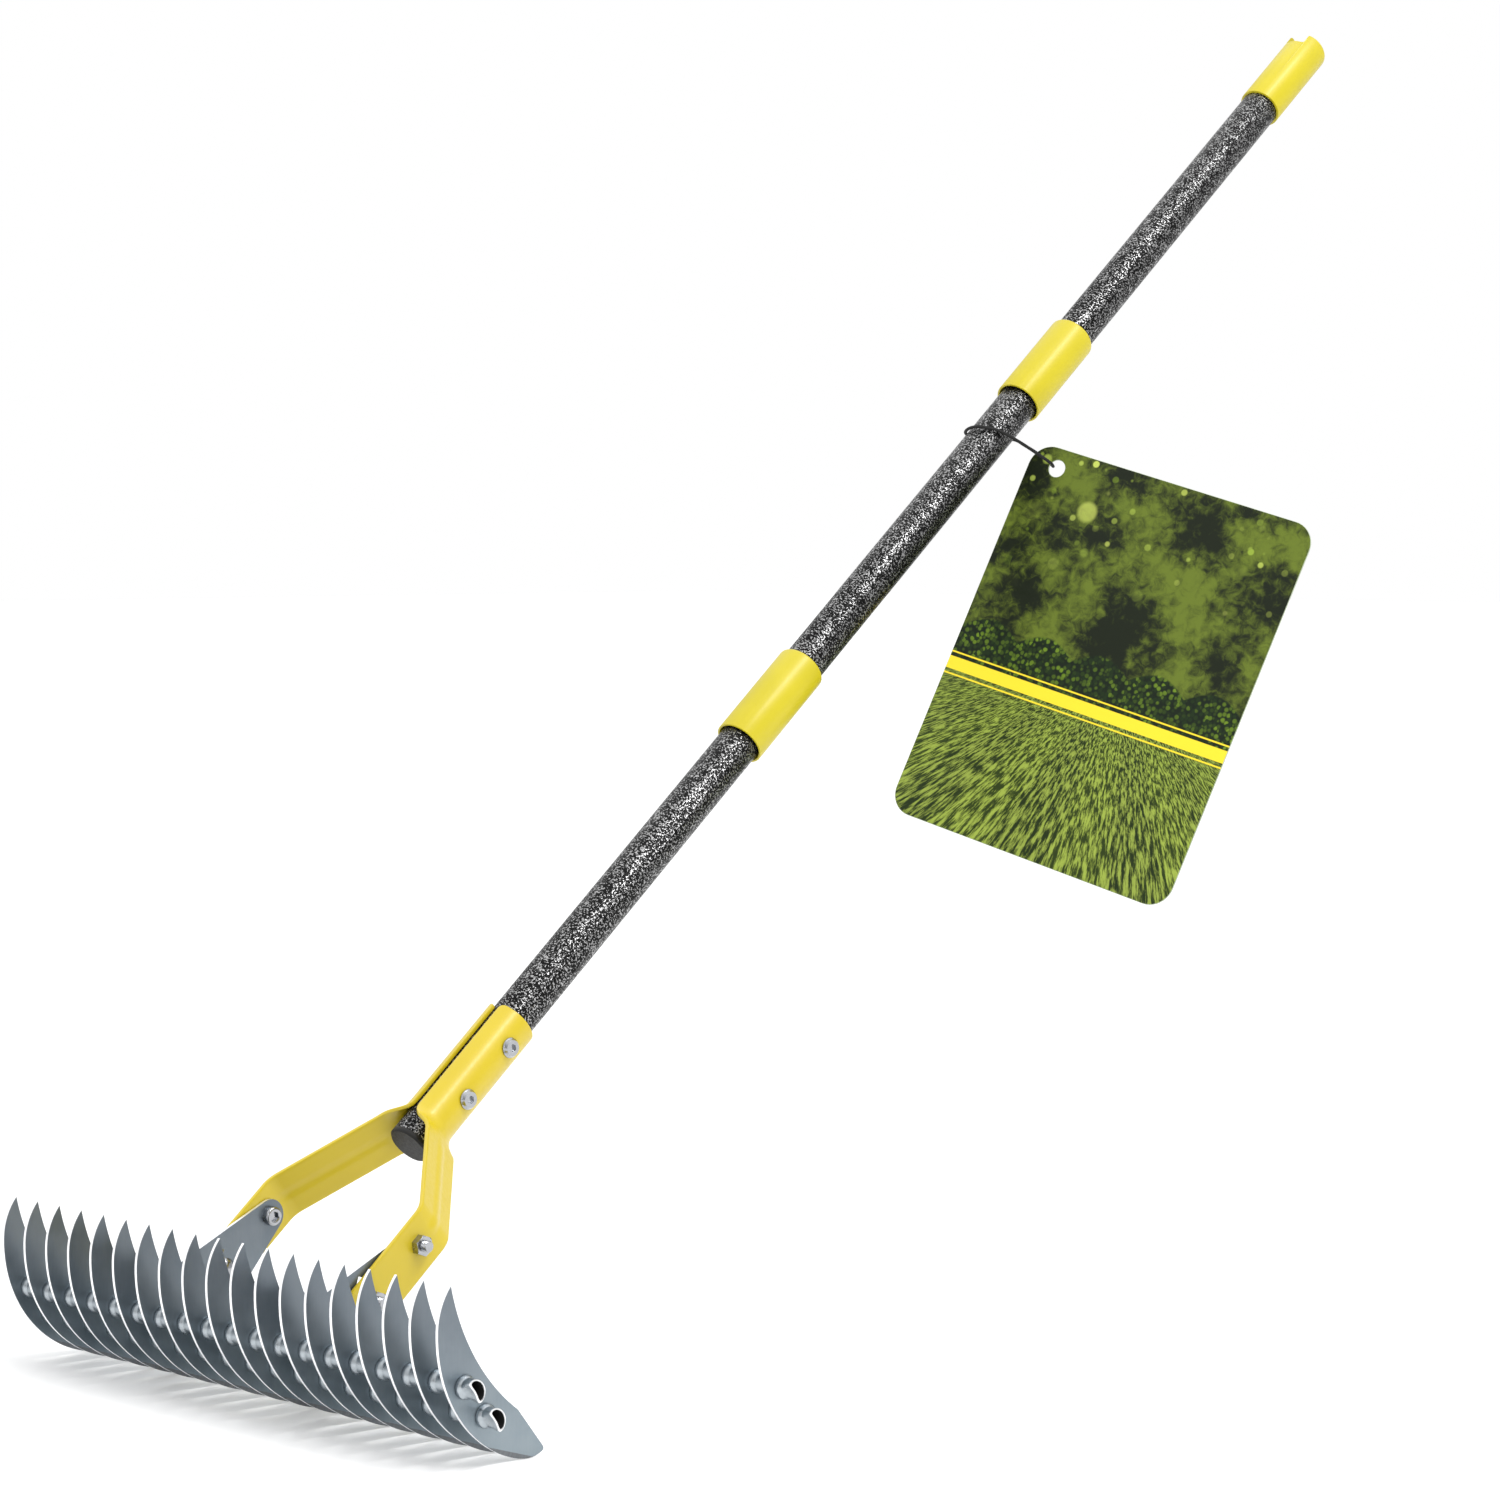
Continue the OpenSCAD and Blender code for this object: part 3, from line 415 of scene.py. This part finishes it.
def yellow_bands(nodes, picture, y):
    """A plain yellow band with a thin rule on each side."""
    for low, high in BANDS:
        away = nodes.math("ABSOLUTE", nodes.minus(y, (low + high) / 2))
        half = (high - low) / 2
        band = nodes.between(away, half - BAND_SOFT, half + BAND_SOFT, 1.0, 0.0)
        picture = nodes.mix(band, picture, BAND_YELLOW)
    return picture


def printed_card():
    """A generic lawn print: blurred leaves, light discs, a hedge, a mown striped lawn and a yellow band."""
    material, nodes, shader = new_material("printed_card")
    flat = nodes.add("UVMap").outputs["UV"]
    x, y, _ = nodes.parts(flat)
    blur = nodes.noise(flat, scale=6.0, detail=3.0, roughness=0.55)
    picture = far_leaves(nodes, flat, blur)
    picture = light_discs(nodes, picture, flat, y)
    picture = clipped_hedge(nodes, picture, flat, x, y, blur)
    picture = mown_lawn(nodes, picture, x, y)
    picture = yellow_bands(nodes, picture, y)
    nodes.feed(shader.inputs["Base Color"], picture)
    sheen = nodes.noise(flat, scale=60.0)
    nodes.feed(shader.inputs["Roughness"], nodes.vary(sheen, 0.36, 0.46))
    shader.inputs["Specular IOR Level"].default_value = 0.2
    return material


hammertone = hammertone_paint()
plastic = yellow_plastic()
paint = yellow_paint()
zinc = sheet_zinc()
tube_zinc = bright_zinc("tube_zinc", (0.42, 0.46, 0.49), rough_low=0.26, rough_high=0.38)
fastener_zinc = bright_zinc("fastener_zinc", (0.38, 0.39, 0.41), rough_low=0.16, rough_high=0.28)
cut_zinc = bright_zinc("cut_zinc", (0.88, 0.89, 0.90), rough_low=0.30, rough_high=0.42)
black_plastic = dark_matter("black_plastic", level=0.010, roughness=0.5, grain_scale=700.0)
cord_black = dark_matter("cord_black", level=0.010, roughness=0.7, grain_scale=2600.0)
# Painted shade: the inside of the tie tubes is made near black, where the hollow lies in shadow
painted_shade_inside = dark_matter("painted_shade_inside", level=0.012, roughness=0.8, grain_scale=300.0)
card = plain_card()
printed = printed_card()


# Mesh helpers. Shapes are drawn in millimetres
SMOOTH_ANGLE = math.radians(35.0)
BEVEL_SEGMENTS = 2


def add_piece(piece, body, nodes):
    """Links a piece, sets it on its body and lets it stand for its CAD nodes."""
    bpy.context.scene.collection.objects.link(piece)
    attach(piece, body)
    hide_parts(*nodes)
    return piece


def mesh_piece(name, shape, materials, where=HANDLE):
    """An object from a bmesh in millimetres, given in the frame where."""
    bmesh.ops.transform(shape, matrix=where @ Matrix.Scale(MM, 4), verts=shape.verts)
    bmesh.ops.recalc_face_normals(shape, faces=shape.faces)
    mesh = bpy.data.meshes.new(name)
    shape.to_mesh(mesh)
    shape.free()
    mesh.shade_smooth()
    mesh.set_sharp_from_angle(angle=SMOOTH_ANGLE)
    for material in materials:
        mesh.materials.append(material)
    return bpy.data.objects.new(name, mesh)


def soften(piece, width, angle):
    """Rounds a piece's edges that are sharper than angle, by width in millimetres."""
    edges = piece.modifiers.new("edges", "BEVEL")
    edges.width = width * MM
    edges.segments = BEVEL_SEGMENTS
    edges.limit_method = "ANGLE"
    edges.angle_limit = angle
    return edges


def loft(shape, rings, closed=False, capped=False, material_of=None):
    """Joins rings of as many points each with quads; material_of gives a strip's material by its number."""
    rows = [[shape.verts.new(point) for point in ring] for ring in rings]
    strips = list(zip(rows, rows[1:]))
    if closed:
        strips.append((rows[-1], rows[0]))
    for number, (low, high) in enumerate(strips):
        for k in range(len(low)):
            face = shape.faces.new((low[k - 1], low[k], high[k], high[k - 1]))
            if material_of:
                face.material_index = material_of(number)
    if capped:
        shape.faces.new(rows[0])
        shape.faces.new(rows[-1])


def box_of(node):
    """The middle of a CAD node's box in the handle's frame and its length along the head."""
    low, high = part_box(node)
    middle = HANDLE.inverted() @ ((Vector(low) + Vector(high)) / 2) / MM
    return middle, (high[0] - low[0]) / MM


def steps(low, high, count):
    return [low + (high - low) * k / count for k in range(count + 1)]


def smooth_step(share):
    share = min(max(share, 0.0), 1.0)
    return share * share * (3.0 - 2.0 * share)


# Tie cord and its knot, along the CAD route: millimetres towards the card's hole, across and up the handle
TIE_BEARING = math.radians(53.7)
TIE_ROUTE = [
    (1.4, 15.2, 691.8), (2.9, 15.2, 693.2), (6, 13.9, 697), (9.8, 13.6, 701.2), (14, 13.6, 704.2),
    (20, 13.3, 705), (27, 12, 705.2), (33, 10.2, 704.1), (38.3, 7.7, 702.1), (41.5, 4.5, 699.6),
    (42.3, 1.5, 697.2), (40.6, -1.1, 695.9), (37.3, -2.5, 694.8), (32, -4.1, 693.1), (24, -6.9, 690.1),
    (15, -10, 686.5), (5.6, -13, 682.2), (0.8, -14.1, 679.9), (-4, -13.5, 677.5), (-8.2, -11.5, 676),
    (-11.5, -8.2, 675.1), (-13.4, -4.3, 674.8), (-14.1, 0.3, 675.2), (-13.4, 4.6, 676.8),
    (-11.2, 8.8, 680), (-7.7, 12.3, 684), (-3.3, 15.2, 687.4), (-1.8, 15.2, 688.8)]
TIE_D = 2.0
TIE_FRAME = HANDLE @ Matrix.Rotation(TIE_BEARING, 4, "Z")
CORD_STEPS = 6
CORD_ROUNDNESS = 4


def cord_curve(name, points, diameter):
    """A round cord through points in metres, smooth between them."""
    data = bpy.data.curves.new(name, "CURVE")
    data.dimensions = "3D"
    data.resolution_u = CORD_STEPS
    data.bevel_depth = diameter * MM / 2
    data.bevel_resolution = CORD_ROUNDNESS
    data.use_fill_caps = True
    spline = data.splines.new("BEZIER")
    spline.bezier_points.add(len(points) - 1)
    for knot, point in zip(spline.bezier_points, points):
        knot.co = point
        knot.handle_left_type = "AUTO"
        knot.handle_right_type = "AUTO"
    data.materials.append(cord_black)
    return bpy.data.objects.new(name, data)


KNOT_TURNS = 2.2
KNOT_STEPS = 12
KNOT_CORE_R = 1.35
KNOT_PITCH = 1.05


def knot_points():
    """A tight wrap of the cord round its own ends, behind the handle."""
    first = Vector(TIE_ROUTE[0])
    last = Vector(TIE_ROUTE[-1])
    way = (first - last).normalized()
    turned = way.to_track_quat("Z", "Y").to_matrix()
    count = round(KNOT_TURNS * KNOT_STEPS)
    points = []
    for k in range(count + 1):
        turn = 2 * math.pi * k / KNOT_STEPS
        along = KNOT_PITCH * KNOT_TURNS * (k / count - 0.5)
        wrap = Vector((KNOT_CORE_R * math.cos(turn), KNOT_CORE_R * math.sin(turn), along))
        points.append((first + last) / 2 + turned @ wrap)
    return points


def in_metres(points, where):
    return [where @ (MM * Vector(point)) for point in points]


# Hang tag: a card with rounded corners and a punched hole, hung by its hole
TAG_W = 200.0
TAG_H = 250.0
TAG_T = 1.0
TAG_CORNER = 15.0
TAG_EDGE = 0.3
TAG_HOLE_R = 5.5
TAG_HOLE_SIDE = 20.0
TAG_HOLE_TOP = 13.0
TAG_HOLE_REACH = 45.2
TAG_HOLE_UP = 696.5
TAG_TURN = math.radians(18.7)
TAG_LEAN = math.radians(32.5)
TAG_ROLL = math.radians(1.7)
CORNER_STEPS = 10
HOLE_STEPS = 40
RIM_NEAR = 0.01
PRINTED_SIDE = 0
PLAIN_SIDE = 1
TAG_FRAME = (
    HANDLE
    @ Matrix.Translation(MM * Vector((
        TAG_HOLE_REACH * math.cos(TIE_BEARING), TAG_HOLE_REACH * math.sin(TIE_BEARING), TAG_HOLE_UP)))
    @ Matrix.Rotation(TAG_TURN, 4, "Z")
    @ Matrix.Rotation(TAG_LEAN, 4, "X")
    @ Matrix.Rotation(TAG_ROLL, 4, "Y"))


def tag_outline(inset):
    """The card's outline from its hole, anticlockwise from the right foot, drawn in by inset."""
    left = -TAG_HOLE_SIDE + TAG_CORNER
    right = TAG_W - TAG_HOLE_SIDE - TAG_CORNER
    foot = TAG_HOLE_TOP - TAG_H + TAG_CORNER
    top = TAG_HOLE_TOP - TAG_CORNER
    reach = TAG_CORNER - inset
    points = []
    for number, (x, z) in enumerate(((right, foot), (right, top), (left, top), (left, foot))):
        for k in range(CORNER_STEPS + 1):
            turn = math.pi / 2 * (number - 1 + k / CORNER_STEPS)
            points.append((x + reach * math.cos(turn), z + reach * math.sin(turn)))
    return points


def tag_hole(inset):
    """The hole's outline, widened by inset."""
    reach = TAG_HOLE_R + inset
    turns = (2 * math.pi * k / HOLE_STEPS for k in range(HOLE_STEPS))
    return [(reach * math.cos(turn), reach * math.sin(turn)) for turn in turns]


def make_tag():
    half = TAG_T / 2
    layers = ((-half, TAG_EDGE), (TAG_EDGE - half, 0.0), (half - TAG_EDGE, 0.0), (half, TAG_EDGE))
    shape = bmesh.new()
    for outline in (tag_outline, tag_hole):
        rings = [[(x, y, z) for x, z in outline(inset)] for y, inset in layers]
        loft(shape, rings, material_of=lambda strip: PLAIN_SIDE)
    for side in (-half, half):
        rim = [edge for edge in shape.edges if edge.is_boundary
               and all(abs(vertex.co.y - side) < RIM_NEAR for vertex in edge.verts)]
        filled = bmesh.ops.triangle_fill(shape, use_beauty=True, use_dissolve=False, edges=rim)
        for face in filled["geom"]:
            if isinstance(face, bmesh.types.BMFace):
                face.material_index = PRINTED_SIDE if side < 0 else PLAIN_SIDE
    flat = shape.loops.layers.uv.new("flat")
    for face in shape.faces:
        for corner in face.loops:
            point = corner.vert.co
            corner[flat].uv = ((point.x + TAG_HOLE_SIDE) / TAG_H, (point.z - TAG_HOLE_TOP) / TAG_H + 1.0)
    return mesh_piece("printed_tag", shape, [printed, card], TAG_FRAME)


add_piece(make_tag(), "tag", ["hang_tag"])
knot = add_piece(
    cord_curve("cord_knot", in_metres(knot_points(), TIE_FRAME), TIE_D), "tag", ["tie_knot"])
tie_points = in_metres(TIE_ROUTE, TIE_FRAME)
tie = add_piece(cord_curve("tie_loop", tie_points, TIE_D), "tag", ["tag_tie"])


# Tie tubes: beaded on both sides of each tine, crushed to a bean at both ends
TINE_COUNT = 19
TINE_T = 1.8
TIE_TUBE_R = 5.0
TIE_TUBE_WALL = 1.0
TIE_TUBE_SIDES = 40
BEAD_L = 4.6
BEAD_H = 1.2
# The bead's profile: shares of its length from the tine, and of its height
BEAD_SHAPE = (
    (0.0, 0.0), (0.01, 0.45), (0.06, 0.8), (0.16, 0.97), (0.3, 1.0), (0.5, 0.86), (0.7, 0.5), (0.85, 0.16),
    (1.0, 0.0))
STUB_ROOT = 2.6
CRUSH_W = 13.0
CRUSH_T = 7.0
CRUSH_SQUARE = 0.8
CRUSH_BEND = 2.4
CRUSH_BEND_LEVEL = 0.4
CRUSH_TURN = math.radians(-7.0)
CRUSH_STEPS = 8
# The rolled lip at each end: millimetres in through the wall, and back from the end
LIP = ((0.0, 0.45), (0.15, 0.12), (0.5, 0.0), (0.85, 0.12), (1.0, 0.45))
# Finishes of the tube's strips: plated outside, near-black painted shade on the inner wall, bright cut lip
PLATED, SHADED_INSIDE, CUT = range(3)


def squared(value):
    """A sine or cosine drawn out towards a square's side."""
    return math.copysign(abs(value) ** CRUSH_SQUARE, value)


def tie_ring(x, radius, crush, inset, side):
    """A ring round the tube: radius where it is round, a bean drawn in by inset where it is crushed."""
    ring = []
    for k in range(TIE_TUBE_SIDES):
        turn = 2 * math.pi * k / TIE_TUBE_SIDES
        long_way = (CRUSH_W / 2 - inset) * squared(math.cos(turn))
        short_way = (CRUSH_T / 2 - inset) * squared(math.sin(turn))
        short_way -= CRUSH_BEND * ((2 * long_way / CRUSH_W) ** 2 - CRUSH_BEND_LEVEL)
        bean = Matrix.Rotation(side * CRUSH_TURN, 2) @ Vector((long_way, short_way))
        y = (1 - crush) * radius * math.cos(turn) + crush * bean.x
        z = (1 - crush) * radius * math.sin(turn) + crush * bean.y
        ring.append((x, y, z))
    return ring


def make_tie_tube(name, node):
    centre, length = box_of(node)
    end = length / 2
    tine_places = [box_of("tine_%02d" % number)[0].x for number in range(1, TINE_COUNT + 1)]
    root = tine_places[-1] + TINE_T / 2 + STUB_ROOT
    stub = steps(root, end - LIP[0][1], CRUSH_STEPS)[1:-1]

    def crush_at(x):
        return 1.0 - (1.0 - min(max((abs(x) - root) / (end - root), 0.0), 1.0)) ** 2

    def lip(side):
        return [
            tie_ring(side * (end - back), TIE_TUBE_R - inset, crush_at(end), inset, side)
            for inset, back in LIP]

    outside = [(-x, TIE_TUBE_R) for x in reversed(stub)]
    for middle in tine_places:
        for side in (-1, 1):
            bead = reversed(BEAD_SHAPE) if side < 0 else BEAD_SHAPE
            for along, rise in bead:
                x = middle + side * (TINE_T / 2 + along * BEAD_L)
                if abs(x) <= root:
                    outside.append((x, TIE_TUBE_R + BEAD_H * rise))
    outside += [(x, TIE_TUBE_R) for x in stub]
    inner_r = TIE_TUBE_R - TIE_TUBE_WALL
    inside = list(reversed(stub)) + [root, -root] + [-x for x in stub]

    rings = [tie_ring(x, radius, crush_at(x), 0.0, math.copysign(1, x)) for x, radius in outside]
    rings += lip(1)
    first_inner = len(rings)
    rings += [tie_ring(x, inner_r, crush_at(x), TIE_TUBE_WALL, math.copysign(1, x)) for x in inside]
    last_inner = len(rings) - 1
    rings += reversed(lip(-1))

    def finish_of(strip):
        # The inner wall takes the near-black painted shade
        if first_inner - 1 <= strip <= last_inner:
            return SHADED_INSIDE
        return CUT if strip >= len(outside) else PLATED

    shape = bmesh.new()
    rings = [[Vector(point) + centre for point in ring] for ring in rings]
    loft(shape, rings, closed=True, material_of=finish_of)
    return mesh_piece(name, shape, [tube_zinc, painted_shade_inside, cut_zinc])


for end_name in ("front", "rear"):
    add_piece(
        make_tie_tube(end_name + "_beaded_tube", end_name + "_tie_tube"), "head",
        [end_name + "_tie_tube"])


# Fork arms: half-round on the handle, flared out with a faint pressed rib, and flat at the brackets
ARM_T = 2.5
ARM_W = 28.5
ARM_WRAP = 39.0
ARM_TOP = 158.0
ARM_BEND = 76.0
ARM_FOOT_BEND = 14.0
ARM_REACH = 51.0
ARM_BEND_R = 14.0
ARM_FLAT_FROM = 82.0
ARM_FLATTEN = 15.0
ARM_LEAST_ROUND = 1e-4
ARM_CORNER = 6.0
ARM_TOP_CORNER = 3.0
ARM_EDGE = 0.7
# The rolled edge: shares of its depth in from the rim, and of half the thickness
ARM_EDGE_SHAPE = ((0.2, 0.8), (0.0, 0.4), (0.0, -0.4), (0.2, -0.8))
ARM_COLUMNS = 36
ARM_CORNER_ROWS = 6
ARM_STRAIGHT_ROWS = 18
ARM_BEND_ROWS = 14
ARM_FLARE_ROWS = 30
ARM_END_EDGE = 0.4
ARM_END_ANGLE = math.radians(60.0)
ARM_CLAMP_X = 13.9
ARM_FOOT_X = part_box("right_arm")[1][0] / MM - ARM_T / 2
ARM_FLARE = math.atan2(ARM_FOOT_X - ARM_CLAMP_X, ARM_BEND - ARM_FOOT_BEND)
ARM_BEND_L = ARM_BEND_R * math.tan(ARM_FLARE / 2)
RIB_W = 9.0
RIB_H = 0.6
RIB_RUN = 9.0
RIB_TAIL = 4.0


def arm_rows():
    """Rows down the arm's centre line: place out, place up, slope, and the cut of a rounded corner."""
    high = ARM_BEND + ARM_BEND_L
    low = ARM_FOOT_BEND - ARM_BEND_L
    straight_top = ARM_TOP - ARM_TOP_CORNER
    straight_foot = ARM_CORNER - ARM_REACH
    quarter = steps(0.0, math.pi / 2, ARM_CORNER_ROWS)
    rows = [
        (ARM_CLAMP_X, ARM_TOP - ARM_TOP_CORNER * (1 - math.cos(a)), 0.0, ARM_TOP_CORNER * (1 - math.sin(a)))
        for a in quarter]
    rows += [(ARM_CLAMP_X, z, 0.0, 0.0) for z in steps(straight_top, high, ARM_STRAIGHT_ROWS)[1:-1]]
    upper = [
        (ARM_CLAMP_X + ARM_BEND_R * (1 - math.cos(a)), high - ARM_BEND_R * math.sin(a), a, 0.0)
        for a in steps(0.0, ARM_FLARE, ARM_BEND_ROWS)]
    lower = [
        (ARM_FOOT_X - ARM_BEND_R * (1 - math.cos(a)), low + ARM_BEND_R * math.sin(a), a, 0.0)
        for a in steps(ARM_FLARE, 0.0, ARM_BEND_ROWS)]
    flare_x = steps(upper[-1][0], lower[0][0], ARM_FLARE_ROWS)[1:-1]
    flare_z = steps(upper[-1][1], lower[0][1], ARM_FLARE_ROWS)[1:-1]
    rows += upper + [(x, z, ARM_FLARE, 0.0) for x, z in zip(flare_x, flare_z)] + lower
    rows += [(ARM_FOOT_X, z, 0.0, 0.0) for z in steps(low, straight_foot, ARM_STRAIGHT_ROWS)[1:-1]]
    rows += [
        (ARM_FOOT_X, ARM_CORNER * (1 - math.cos(a)) - ARM_REACH, 0.0, ARM_CORNER * (1 - math.sin(a)))
        for a in reversed(quarter)]
    return rows


def rib_rise(v, z):
    """The rib's height at v across the strip and z up the handle."""
    if abs(v) >= RIB_W / 2:
        return 0.0
    fade_in = smooth_step((ARM_BEND - RIB_RUN / 2 - z) / RIB_RUN)
    fade_out = smooth_step((z - ARM_FOOT_BEND + ARM_BEND_L + RIB_TAIL) / RIB_RUN)
    return RIB_H * (1 + math.cos(2 * math.pi * v / RIB_W)) / 2 * fade_in * fade_out


def arm_ring(row):
    """A closed ring round the sheet: along its outside, round one edge, back along its inside."""
    x, z, slope, cut = row
    roundness = 1 - smooth_step((ARM_FLAT_FROM - z) / ARM_FLATTEN)
    half = (ARM_W + (ARM_WRAP - ARM_W) * roundness) / 2 - cut
    outline = [(v, 1.0) for v in steps(ARM_EDGE - half, half - ARM_EDGE, ARM_COLUMNS)]
    outline += [(half - inset * ARM_EDGE, side) for inset, side in ARM_EDGE_SHAPE]
    outline += [(-v, -side) for v, side in outline]
    bow = max(roundness, ARM_LEAST_ROUND) / ARM_CLAMP_X
    ring = []
    for v, side in outline:
        rise = side * ARM_T / 2 + rib_rise(v, z)
        out = (math.cos(bow * v) - 1) / bow + rise * math.cos(bow * v)
        y = math.sin(bow * v) / bow + rise * math.sin(bow * v)
        ring.append((x + out * math.cos(slope), y, z + out * math.sin(slope)))
    return ring


def make_arm(name, side):
    shape = bmesh.new()
    loft(shape, [[(side * x, y, z) for x, y, z in arm_ring(row)] for row in arm_rows()], capped=True)
    piece = mesh_piece(name, shape, [paint])
    soften(piece, ARM_END_EDGE, ARM_END_ANGLE)
    return piece


for side_name, side in (("left", -1), ("right", 1)):
    add_piece(make_arm(side_name + "_pressed_arm", side), "handle", [side_name + "_arm"])


# Bolts of the tilt joint: button heads with hex sockets, domed heads, and threads past the nuts
BOLT_SIDES = 36
BOLT_R = 3.0
THREAD_ROOT = 2.5
THREAD_PITCH = 1.0
THREAD_L = 6.0
THREAD_STEPS = 8
THREAD_STEEPNESS = 1.3
THREAD_RUNOUT = 0.1
THREAD_TIP_R = 2.6
HEX_AF = 5.0
HEX_DEPTH = 2.0
HEX_MOUTH = 0.3
BUTTON_H = 4.0
BUTTON_SHAPE = ((0.0, 3.3), (0.0, 4.0), (0.2, 4.6), (0.65, 5.05), (1.3, 5.25), (BUTTON_H, 5.25))
DOME_R = 6.3
DOME_H = 3.2
DOME_CROWN = 0.06
DOME_STEPS = 10
DOME_UNDERCUT = 0.1
DOME_UNDERSIDE = 0.01


def bolt_ring(x, radius_at):
    turns = steps(0.0, 2 * math.pi, BOLT_SIDES)[:-1]
    return [(x, radius_at(turn) * math.cos(turn), radius_at(turn) * math.sin(turn)) for turn in turns]


def round_ring(x, radius):
    return bolt_ring(x, lambda turn: radius)


def hex_ring(x, across_flats):
    sixth = math.pi / 3
    return bolt_ring(x, lambda turn: across_flats / 2 / math.cos((turn + sixth / 2) % sixth - sixth / 2))


def thread_ring(x, limit):
    """A ring across the thread, no wider than limit."""
    def radius_at(turn):
        share = (x / THREAD_PITCH - turn / (2 * math.pi)) % 1.0
        ridge = min(1.0, THREAD_STEEPNESS * (1 - abs(2 * share - 1)))
        return min(THREAD_ROOT + (BOLT_R - THREAD_ROOT) * ridge, limit)
    return bolt_ring(x, radius_at)


def button_head():
    rings = [hex_ring(HEX_DEPTH, HEX_AF), hex_ring(HEX_MOUTH, HEX_AF)]
    return rings + [round_ring(x, radius) for x, radius in BUTTON_SHAPE]


def domed_head():
    ball = (DOME_R ** 2 + DOME_H ** 2) / (2 * DOME_H)
    turns = steps(DOME_CROWN, math.asin(DOME_R / ball), DOME_STEPS)
    dome = [round_ring(ball * (1 - math.cos(turn)), ball * math.sin(turn)) for turn in turns]
    return dome + [round_ring(DOME_H + DOME_UNDERSIDE, DOME_R - DOME_UNDERCUT)]


def make_bolt(name, node, head, side):
    """A bolt along X, its head towards the middle of the rake."""
    centre, length = box_of(node)
    head_end = head[-1][0][0]
    thread_from = length - THREAD_L
    rings = head + [round_ring(head_end, BOLT_R), round_ring(thread_from - THREAD_RUNOUT, BOLT_R)]
    for x in steps(thread_from, length, round(THREAD_L / THREAD_PITCH * THREAD_STEPS)):
        rings.append(thread_ring(x, THREAD_TIP_R + length - x))
    shape = bmesh.new()
    offset = Vector((0.0, centre.y, centre.z))
    start = abs(centre.x) - length / 2
    loft(shape, [
        [offset + Vector((side * (start + x), y, z)) for x, y, z in ring] for ring in rings], capped=True)
    return mesh_piece(name, shape, [fastener_zinc])


for side_name, side in (("left", -1), ("right", 1)):
    for kind, head in (("pivot", button_head()), ("adjust", domed_head())):
        bolt_node = "%s_%s_bolt" % (side_name, kind)
        bolt = make_bolt("%s_%s_screw" % (side_name, kind), bolt_node, head, side)
        add_piece(bolt, "handle", [bolt_node])


# CAD nodes: their shapes stay, with softened edges and a finish
EDGE_ANGLE = math.radians(32.0)
WELD_NEAR = 0.01


def dress(name, material, edge):
    node = frame["nodes"][name]
    node.data.materials.clear()
    node.data.materials.append(material)
    weld = node.modifiers.new("weld", "WELD")
    weld.merge_threshold = WELD_NEAR * MM
    soften(node, edge, EDGE_ANGLE).harden_normals = True


# Each slot's finish, and the width of its softened edges in millimetres
finishes = {
    "hammertone_tube": (hammertone, 0.2),
    "black_plastic": (black_plastic, 0.3),
    "yellow_plastic": (plastic, 0.4),
    "fastener_zinc": (fastener_zinc, 0.25),
    "tine_zinc": (zinc, 0.3),
}
for subpart in frame["record"]["subparts"]:
    if not frame["nodes"][subpart["node"]].hide_render:
        dress(subpart["node"], *finishes[subpart["material_slot"]])


# Stage: a wide pale floor, a white surround and soft boxes
FLOOR_SIZE = 40.0
FLOOR_DROP = 0.3 * MM
FLOOR_WHITE = grey(0.93)


def make_floor():
    mesh = bpy.data.meshes.new("floor")
    half = FLOOR_SIZE / 2
    corners = [(-half, -half), (half, -half), (half, half), (-half, half)]
    mesh.from_pydata([(x, y, -FLOOR_DROP) for x, y in corners], [], [(0, 1, 2, 3)])
    floor = bpy.data.objects.new("floor", mesh)
    bpy.context.scene.collection.objects.link(floor)
    material, _, shader = new_material("pale_floor")
    shader.inputs["Base Color"].default_value = FLOOR_WHITE
    shader.inputs["Roughness"].default_value = 0.9
    shader.inputs["Specular IOR Level"].default_value = 0.1
    mesh.materials.append(material)


# The surround's level on the camera's right, and what is added to it on other sides
LEVEL_RIGHT = 0.75
MORE_LEFT = 0.1
MORE_BEHIND = -0.4
MORE_OVERHEAD = 0.5


def make_world():
    """A white surround, bright overhead and on the camera's left, dimmer on its right and behind it."""
    world = bpy.data.worlds.new("studio")
    world.use_nodes = True
    bpy.context.scene.world = world
    nodes = Nodes(world.node_tree)
    background = world.node_tree.nodes["Background"]
    way = nodes.add("TexCoord").outputs["Generated"]
    turned = nodes.add("VectorRotate", {"Vector": way, "Angle": -CAMERA_AZIMUTH}, rotation_type="Z_AXIS")
    right, away, up = nodes.parts(turned.outputs[0])
    level = nodes.between(right, 0.3, 0.9, 1.0, LEVEL_RIGHT)
    level = nodes.plus(level, nodes.between(right, -0.9, -0.3, MORE_LEFT, 0.0))
    level = nodes.plus(level, nodes.between(away, -0.9, -0.2, MORE_BEHIND, 0.0))
    level = nodes.plus(level, nodes.between(up, 0.2, 0.9, 0.0, MORE_OVERHEAD))
    nodes.feed(background.inputs["Color"], level)
    background.inputs["Strength"].default_value = 1.0


LIGHTS_AIM = HANDLE @ (MM * Vector((0.0, 0.0, 480.0)))


def soft_box(name, way, distance, width, length, watts):
    """An area light that faces the middle of the handle, its length along the handle."""
    back = Vector(way).normalized()
    along = (up_handle - up_handle.dot(back) * back).normalized()
    data = bpy.data.lights.new(name, "AREA")
    data.shape = "RECTANGLE"
    data.size = width
    data.size_y = length
    data.energy = watts
    light = bpy.data.objects.new(name, data)
    light.location = LIGHTS_AIM + distance * back
    light.rotation_euler = Matrix((along.cross(back), along, back)).transposed().to_euler()
    bpy.context.scene.collection.objects.link(light)


make_camera()
make_floor()
make_world()
soft_box("key_box", (0.61, 0.02, 0.81), distance=2.2, width=0.10, length=1.8, watts=32.0)
soft_box("fill_box", (0.75, -0.65, 0.1), distance=2.6, width=1.4, length=1.4, watts=9.0)
bpy.context.scene.view_settings.view_transform = "Standard"
